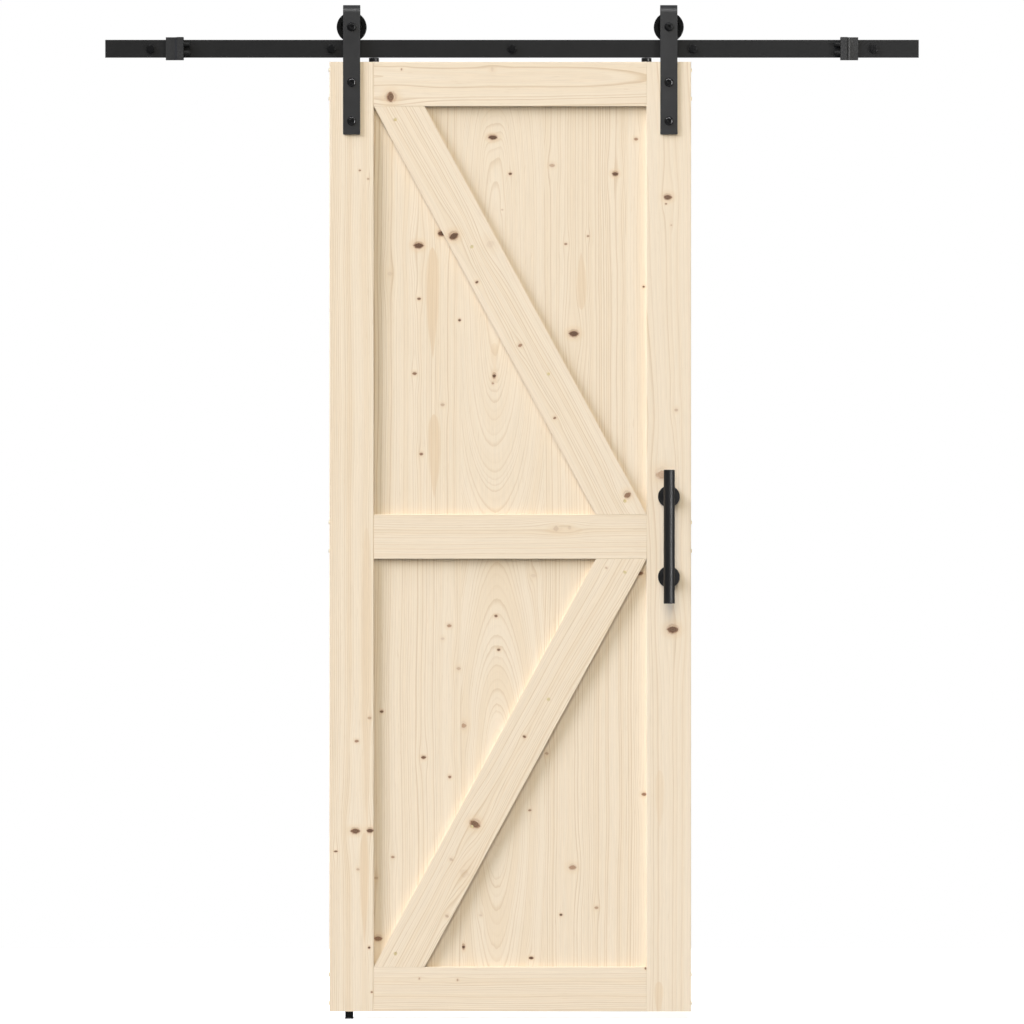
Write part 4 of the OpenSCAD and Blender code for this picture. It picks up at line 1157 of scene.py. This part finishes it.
class BARN_OT_hangers(bpy.types.Operator):
    """Hanger straps with their bolts, washers and nuts"""

    bl_idname = "barn.hangers"
    bl_label = "Hangers"

    def execute(self, context):
        metal = context.scene.barn_metal
        for side, seed in zip(SIDES, (7, 8)):
            strap = f"hanger_strap_{side}"
            refinish(softened(strap, metal.edge), "strap_steel")
            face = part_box(strap)[0].y
            for node in (f"strap_bolts_{side}", f"axle_bolt_{side}"):
                low, high = solids_of(node)[0]
                end = face - high.y
                outline = [(end, BOLT * 0.92), (end + 0.4 * MM, BOLT), (0.0, BOLT)]
                outline += button_head(high.x - low.x, face - low.y, flats=6 * MM)
                piece = set_out(node, outline, OUTWARD, seed, y=face)
                if node.startswith("strap"):
                    refinish(piece, "bright_bolt")
        for node in ("strap_nuts", "axle_nuts"):
            self.set_out_nuts(node)
        for node in ("strap_washers", "handle_washers", "axle_sleeves"):
            softened(node, metal.fine_edge, 2)
        return {"FINISHED"}

    def set_out_nuts(self, node):
        """Hexagonal nuts with a chamfer on their outer face."""
        low, high = solids_of(node)[0]
        flats = high.z - low.z
        tall = high.y - low.y
        mouth = NUT_BORE + 0.5 * MM
        outline = [(0.0, mouth)] + hex_head(flats, tall)
        outline += [(tall, mouth), (tall - 0.5 * MM, NUT_BORE), (0.5 * MM, NUT_BORE)]
        set_out(node, outline, TO_WALL, seed=9, bore=True, y=low.y)


class BARN_OT_wheels(bpy.types.Operator):
    """Grooved wheels and their ball bearings"""

    bl_idname = "barn.wheels"
    bl_label = "Wheels"

    def execute(self, context):
        for side in SIDES:
            softened(f"wheel_{side}", context.scene.barn_metal.edge, angle=math.radians(30))
            node = f"bearing_balls_{side}"
            balls = solids_of(node)
            low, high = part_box(node)
            width = balls[0][1].y - balls[0][0].y
            pitch = high.x - low.x - width
            values = {"Count": len(balls), "Pitch Radius": pitch / 2, "Ball Radius": width / 2}
            values["Axis"] = OUTWARD
            grown(node, [(low + high) / 2], ball_ring_group(), values)
        return {"FINISHED"}


class BARN_OT_discs(bpy.types.Operator):
    """Anti-jump discs on the door's top, and their screws"""

    bl_idname = "barn.discs"
    bl_label = "Anti-jump discs"

    def execute(self, context):
        for side in SIDES:
            softened(f"anti_jump_disc_{side}", context.scene.barn_metal.fine_edge)
        low, high = solids_of("anti_jump_screws")[0]
        bottom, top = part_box("anti_jump_disc_left")
        seat = (bottom.z + top.z) / 2
        outline = wood_shank(low.z - seat) + pan_head(high.x - low.x, high.z - seat)
        set_out("anti_jump_screws", outline, UPWARD, seed=10, z=seat)
        return {"FINISHED"}


class BARN_OT_wood_screws(bpy.types.Operator):
    """Countersunk brace screws and the long screws in the door's edges"""

    bl_idname = "barn.wood_screws"
    bl_label = "Wood screws"

    def execute(self, context):
        for node in ("upper_brace_screws", "lower_brace_screws"):
            low, high = solids_of(node)[0]
            head = high.z - low.z
            end = low.y - high.y
            outline = [
                (end, SCREW_TIP), (end + 4 * MM, BRACE_SCREW * 0.9), (-head * SUNK_SHARE, BRACE_SCREW),
                (-SUNK_RIM, head / 2 - SUNK_RIM_INSET),
            ]
            outline += flat_head(head - 2 * SUNK_FACE_INSET, head * BRACE_RECESS)
            set_out(node, outline, OUTWARD, seed=11, y=low.y)
        for side, axis, edge in zip(SIDES, (TO_LEFT, TO_RIGHT), (DOOR_LOW.x, DOOR_HIGH.x)):
            node = f"frame_screws_{side}"
            low, high = solids_of(node)[0]
            proud = edge - low.x if side == "left" else high.x - edge
            end = edge - high.x if side == "left" else low.x - edge
            outline = wood_shank(end) + pan_head(high.z - low.z, proud)
            refinish(set_out(node, outline, axis, seed=12, x=edge), "yellow_zinc")
        return {"FINISHED"}


class BARN_OT_pull(bpy.types.Operator):
    """Pull handle with its posts, rosettes and bolts"""

    bl_idname = "barn.pull"
    bl_label = "Pull handle"

    def execute(self, context):
        for node in ("handle_bar", "handle_posts", "handle_rosettes"):
            softened(node, context.scene.barn_metal.fine_edge)
        low, high = solids_of("handle_bolts")[0]
        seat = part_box("handle_washers")[1].y
        end = low.y - seat
        outline = [(end, HANDLE_BOLT * 0.9), (end + 0.5 * MM, HANDLE_BOLT), (0.0, HANDLE_BOLT)]
        outline += hex_head(high.z - low.z, high.y - seat)
        set_out("handle_bolts", outline, TO_WALL, seed=13, y=seat)
        return {"FINISHED"}


class BARN_OT_floor_guide(bpy.types.Operator):
    """Floor guide under the door, and its screws"""

    bl_idname = "barn.floor_guide"
    bl_label = "Floor guide"

    def execute(self, context):
        softened("floor_guide", context.scene.barn_metal.fine_edge)
        low, high = solids_of("floor_guide_screws")[0]
        head = high.x - low.x
        outline = thread(low.z - high.z, -3.5 * MM, root=1.3 * MM, crest=1.8 * MM, pitch=1.8 * MM)
        outline += [(-3 * MM, 2 * MM), (-2 * MM, 2 * MM), (-0.2 * MM, head * 0.49)]
        outline += flat_head(head, head * RECESS)
        set_out("floor_guide_screws", outline, UPWARD, seed=14, z=high.z)
        return {"FINISHED"}


# ---- Stage ----

# A light panel: its place from the middle of the view, its size, the setting for its power and its gain on
# that, the way it faces, its colour and the kind of ray that doesn't see it
Panel = namedtuple("Panel", "name offset size setting gain facing color unseen")
BACK = (0, 1, 0)
WHITE = (1.0, 1.0, 1.0)
PANELS = (
    Panel("Front panel", (-0.6, -16, 18), (7.6, 33), "front", 1.0, BACK, (1.0, 0.95, 0.83), "glossy"),
    Panel("Left panel", (-45.6, -16, 68), (51, 120), "left", 1.0, BACK, (0.78, 0.84, 1.0), "glossy"),
    Panel("Right strip", (2.6, -2.4, 0), (0.8, 4.0), "strip", 1.9, (-2.6, 2.4, 0), WHITE, "diffuse"),
    Panel("Top strip", (0, -2.5, 3.6), (5.0, 0.35), "strip", 1.6, (0, 2.5, -2.5), WHITE, "diffuse"),
)
# Height of the middle of the view, and the camera's sensor width in millimetres
VIEW_HEIGHT = -1.0414
SENSOR = 36
# The floor's half side, its colour as it lights the door and as the camera sees it, and the glow that only
# the camera sees
FLOOR_REACH = 3.0
FLOOR_UNSEEN = (0.25, 0.25, 0.25, 1.0)
FLOOR_SEEN = (0.93, 0.93, 0.93, 1.0)
FLOOR_GLOW = 0.3
# The fill's tone from the front, and how much stronger the back's is at the right
FILL_TONE = (1.0, 0.95, 0.82)
RIGHT_GAIN = 1.9


class BARN_OT_stage(bpy.types.Operator):
    """Pale floor, soft studio light and the camera"""

    bl_idname = "barn.stage"
    bl_label = "Stage"

    def execute(self, context):
        stage = context.scene.barn_stage
        low, high = CAD_BOX
        middle = Vector(((low.x + high.x) / 2, DOOR_LOW.y, VIEW_HEIGHT))
        self.add_floor(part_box("floor_guide")[0].z)
        self.add_world(stage)
        for panel in PANELS:
            self.add_panel(panel, middle, panel.gain * getattr(stage, panel.setting))
        self.add_camera(stage, middle)
        context.scene.view_settings.view_transform = "Standard"
        return {"FINISHED"}

    def add_floor(self, height):
        mesh = bmesh.new()
        bmesh.ops.create_grid(mesh, x_segments=2, y_segments=2, size=FLOOR_REACH)
        bmesh.ops.translate(mesh, verts=mesh.verts, vec=(0, 0, height))
        floor = tidy_mesh("floor", mesh)
        material, build = emptied("pale_floor")
        seen = build.wire("ShaderNodeLightPath", output="Is Camera Ray")
        matt = build.wire("ShaderNodeBsdfDiffuse", {"Color": build.mix(seen, FLOOR_UNSEEN, FLOOR_SEEN)})
        glow = build.wire("ShaderNodeEmission", {"Strength": seen * FLOOR_GLOW})
        both = build.wire("ShaderNodeAddShader", {0: matt, 1: glow})
        build.add("ShaderNodeOutputMaterial", {"Surface": both})
        floor.data.materials.append(material)

    def add_world(self, stage):
        """White to the camera, a soft fill for matt surfaces and a dim room for gloss."""
        world = bpy.data.worlds.new("Studio")
        world.use_nodes = True
        world.node_tree.nodes.clear()
        build = Builder(world.node_tree)
        path = build.add("ShaderNodeLightPath").outputs
        across, toward, _ = build.axes(build.coordinates("Generated"))
        front = Vector(FILL_TONE) * stage.fill
        back = Vector(WHITE) * stage.back_fill
        back = build.mix(build.smooth(across, 0.1, 0.8), rgba(back), rgba(RIGHT_GAIN * back))
        soft = build.mix(build.smooth(toward, 0.0, 0.15), rgba(front), back)
        level = build.mix(path["Is Glossy Ray"], soft, rgba([stage.gloss] * 3))
        color = build.mix(path["Is Camera Ray"], level, rgba(WHITE))
        sky = build.wire("ShaderNodeBackground", {"Color": color, "Strength": 1.0})
        build.add("ShaderNodeOutputWorld", {"Surface": sky})
        bpy.context.scene.world = world

    def add_panel(self, panel, middle, power):
        data = bpy.data.lights.new(panel.name, "AREA")
        data.shape = "RECTANGLE"
        data.size, data.size_y = panel.size
        data.energy = power
        data.color = panel.color
        lamp = linked(panel.name, data)
        lamp.location = middle + Vector(panel.offset)
        lamp.rotation_euler = (-Vector(panel.facing)).to_track_quat("Z", "Y").to_euler()
        lamp.visible_camera = False
        setattr(lamp, f"visible_{panel.unseen}", False)

    def add_camera(self, stage, middle):
        data = bpy.data.cameras.new("Camera")
        data.lens = stage.lens
        data.sensor_width = SENSOR
        distance = stage.view_width * stage.lens / SENSOR
        data.clip_end = distance * 4
        camera = linked("Camera", data)
        camera.location = middle - Vector((0, distance, 0))
        camera.rotation_euler = (math.pi / 2, 0, 0)
        bpy.context.scene.camera = camera


SETTINGS = {"barn_wood": WoodSettings, "barn_metal": MetalSettings, "barn_stage": StageSettings}
STEPS = (
    BARN_OT_finishes, BARN_OT_timber, BARN_OT_rail, BARN_OT_stops, BARN_OT_hangers, BARN_OT_wheels,
    BARN_OT_discs, BARN_OT_wood_screws, BARN_OT_pull, BARN_OT_floor_guide, BARN_OT_stage,
)


class BARN_PT_sidebar(bpy.types.Panel):
    """The door's settings and steps"""

    bl_label = "Barn Door"
    bl_idname = "BARN_PT_sidebar"
    bl_space_type = "VIEW_3D"
    bl_region_type = "UI"
    bl_category = "Barn Door"

    def draw(self, context):
        for name, group in SETTINGS.items():
            box = self.layout.box()
            for title in group.__annotations__:
                box.prop(getattr(context.scene, name), title)
        for step in STEPS:
            self.layout.operator(step.bl_idname)


def register():
    for group in SETTINGS.values():
        bpy.utils.register_class(group)
    for step in STEPS:
        bpy.utils.register_class(step)
    bpy.utils.register_class(BARN_PT_sidebar)
    for name, group in SETTINGS.items():
        setattr(bpy.types.Scene, name, PointerProperty(type=group))


def unregister():
    for name in SETTINGS:
        delattr(bpy.types.Scene, name)
    bpy.utils.unregister_class(BARN_PT_sidebar)
    for step in reversed(STEPS):
        bpy.utils.unregister_class(step)
    for group in SETTINGS.values():
        bpy.utils.unregister_class(group)


def main():
    register()
    bpy.ops.barn.finishes()
    bpy.ops.barn.timber()
    bpy.ops.barn.rail()
    bpy.ops.barn.stops()
    bpy.ops.barn.hangers()
    bpy.ops.barn.wheels()
    bpy.ops.barn.discs()
    bpy.ops.barn.wood_screws()
    bpy.ops.barn.pull()
    bpy.ops.barn.floor_guide()
    bpy.ops.barn.stage()


if __name__ == "__main__":
    main()
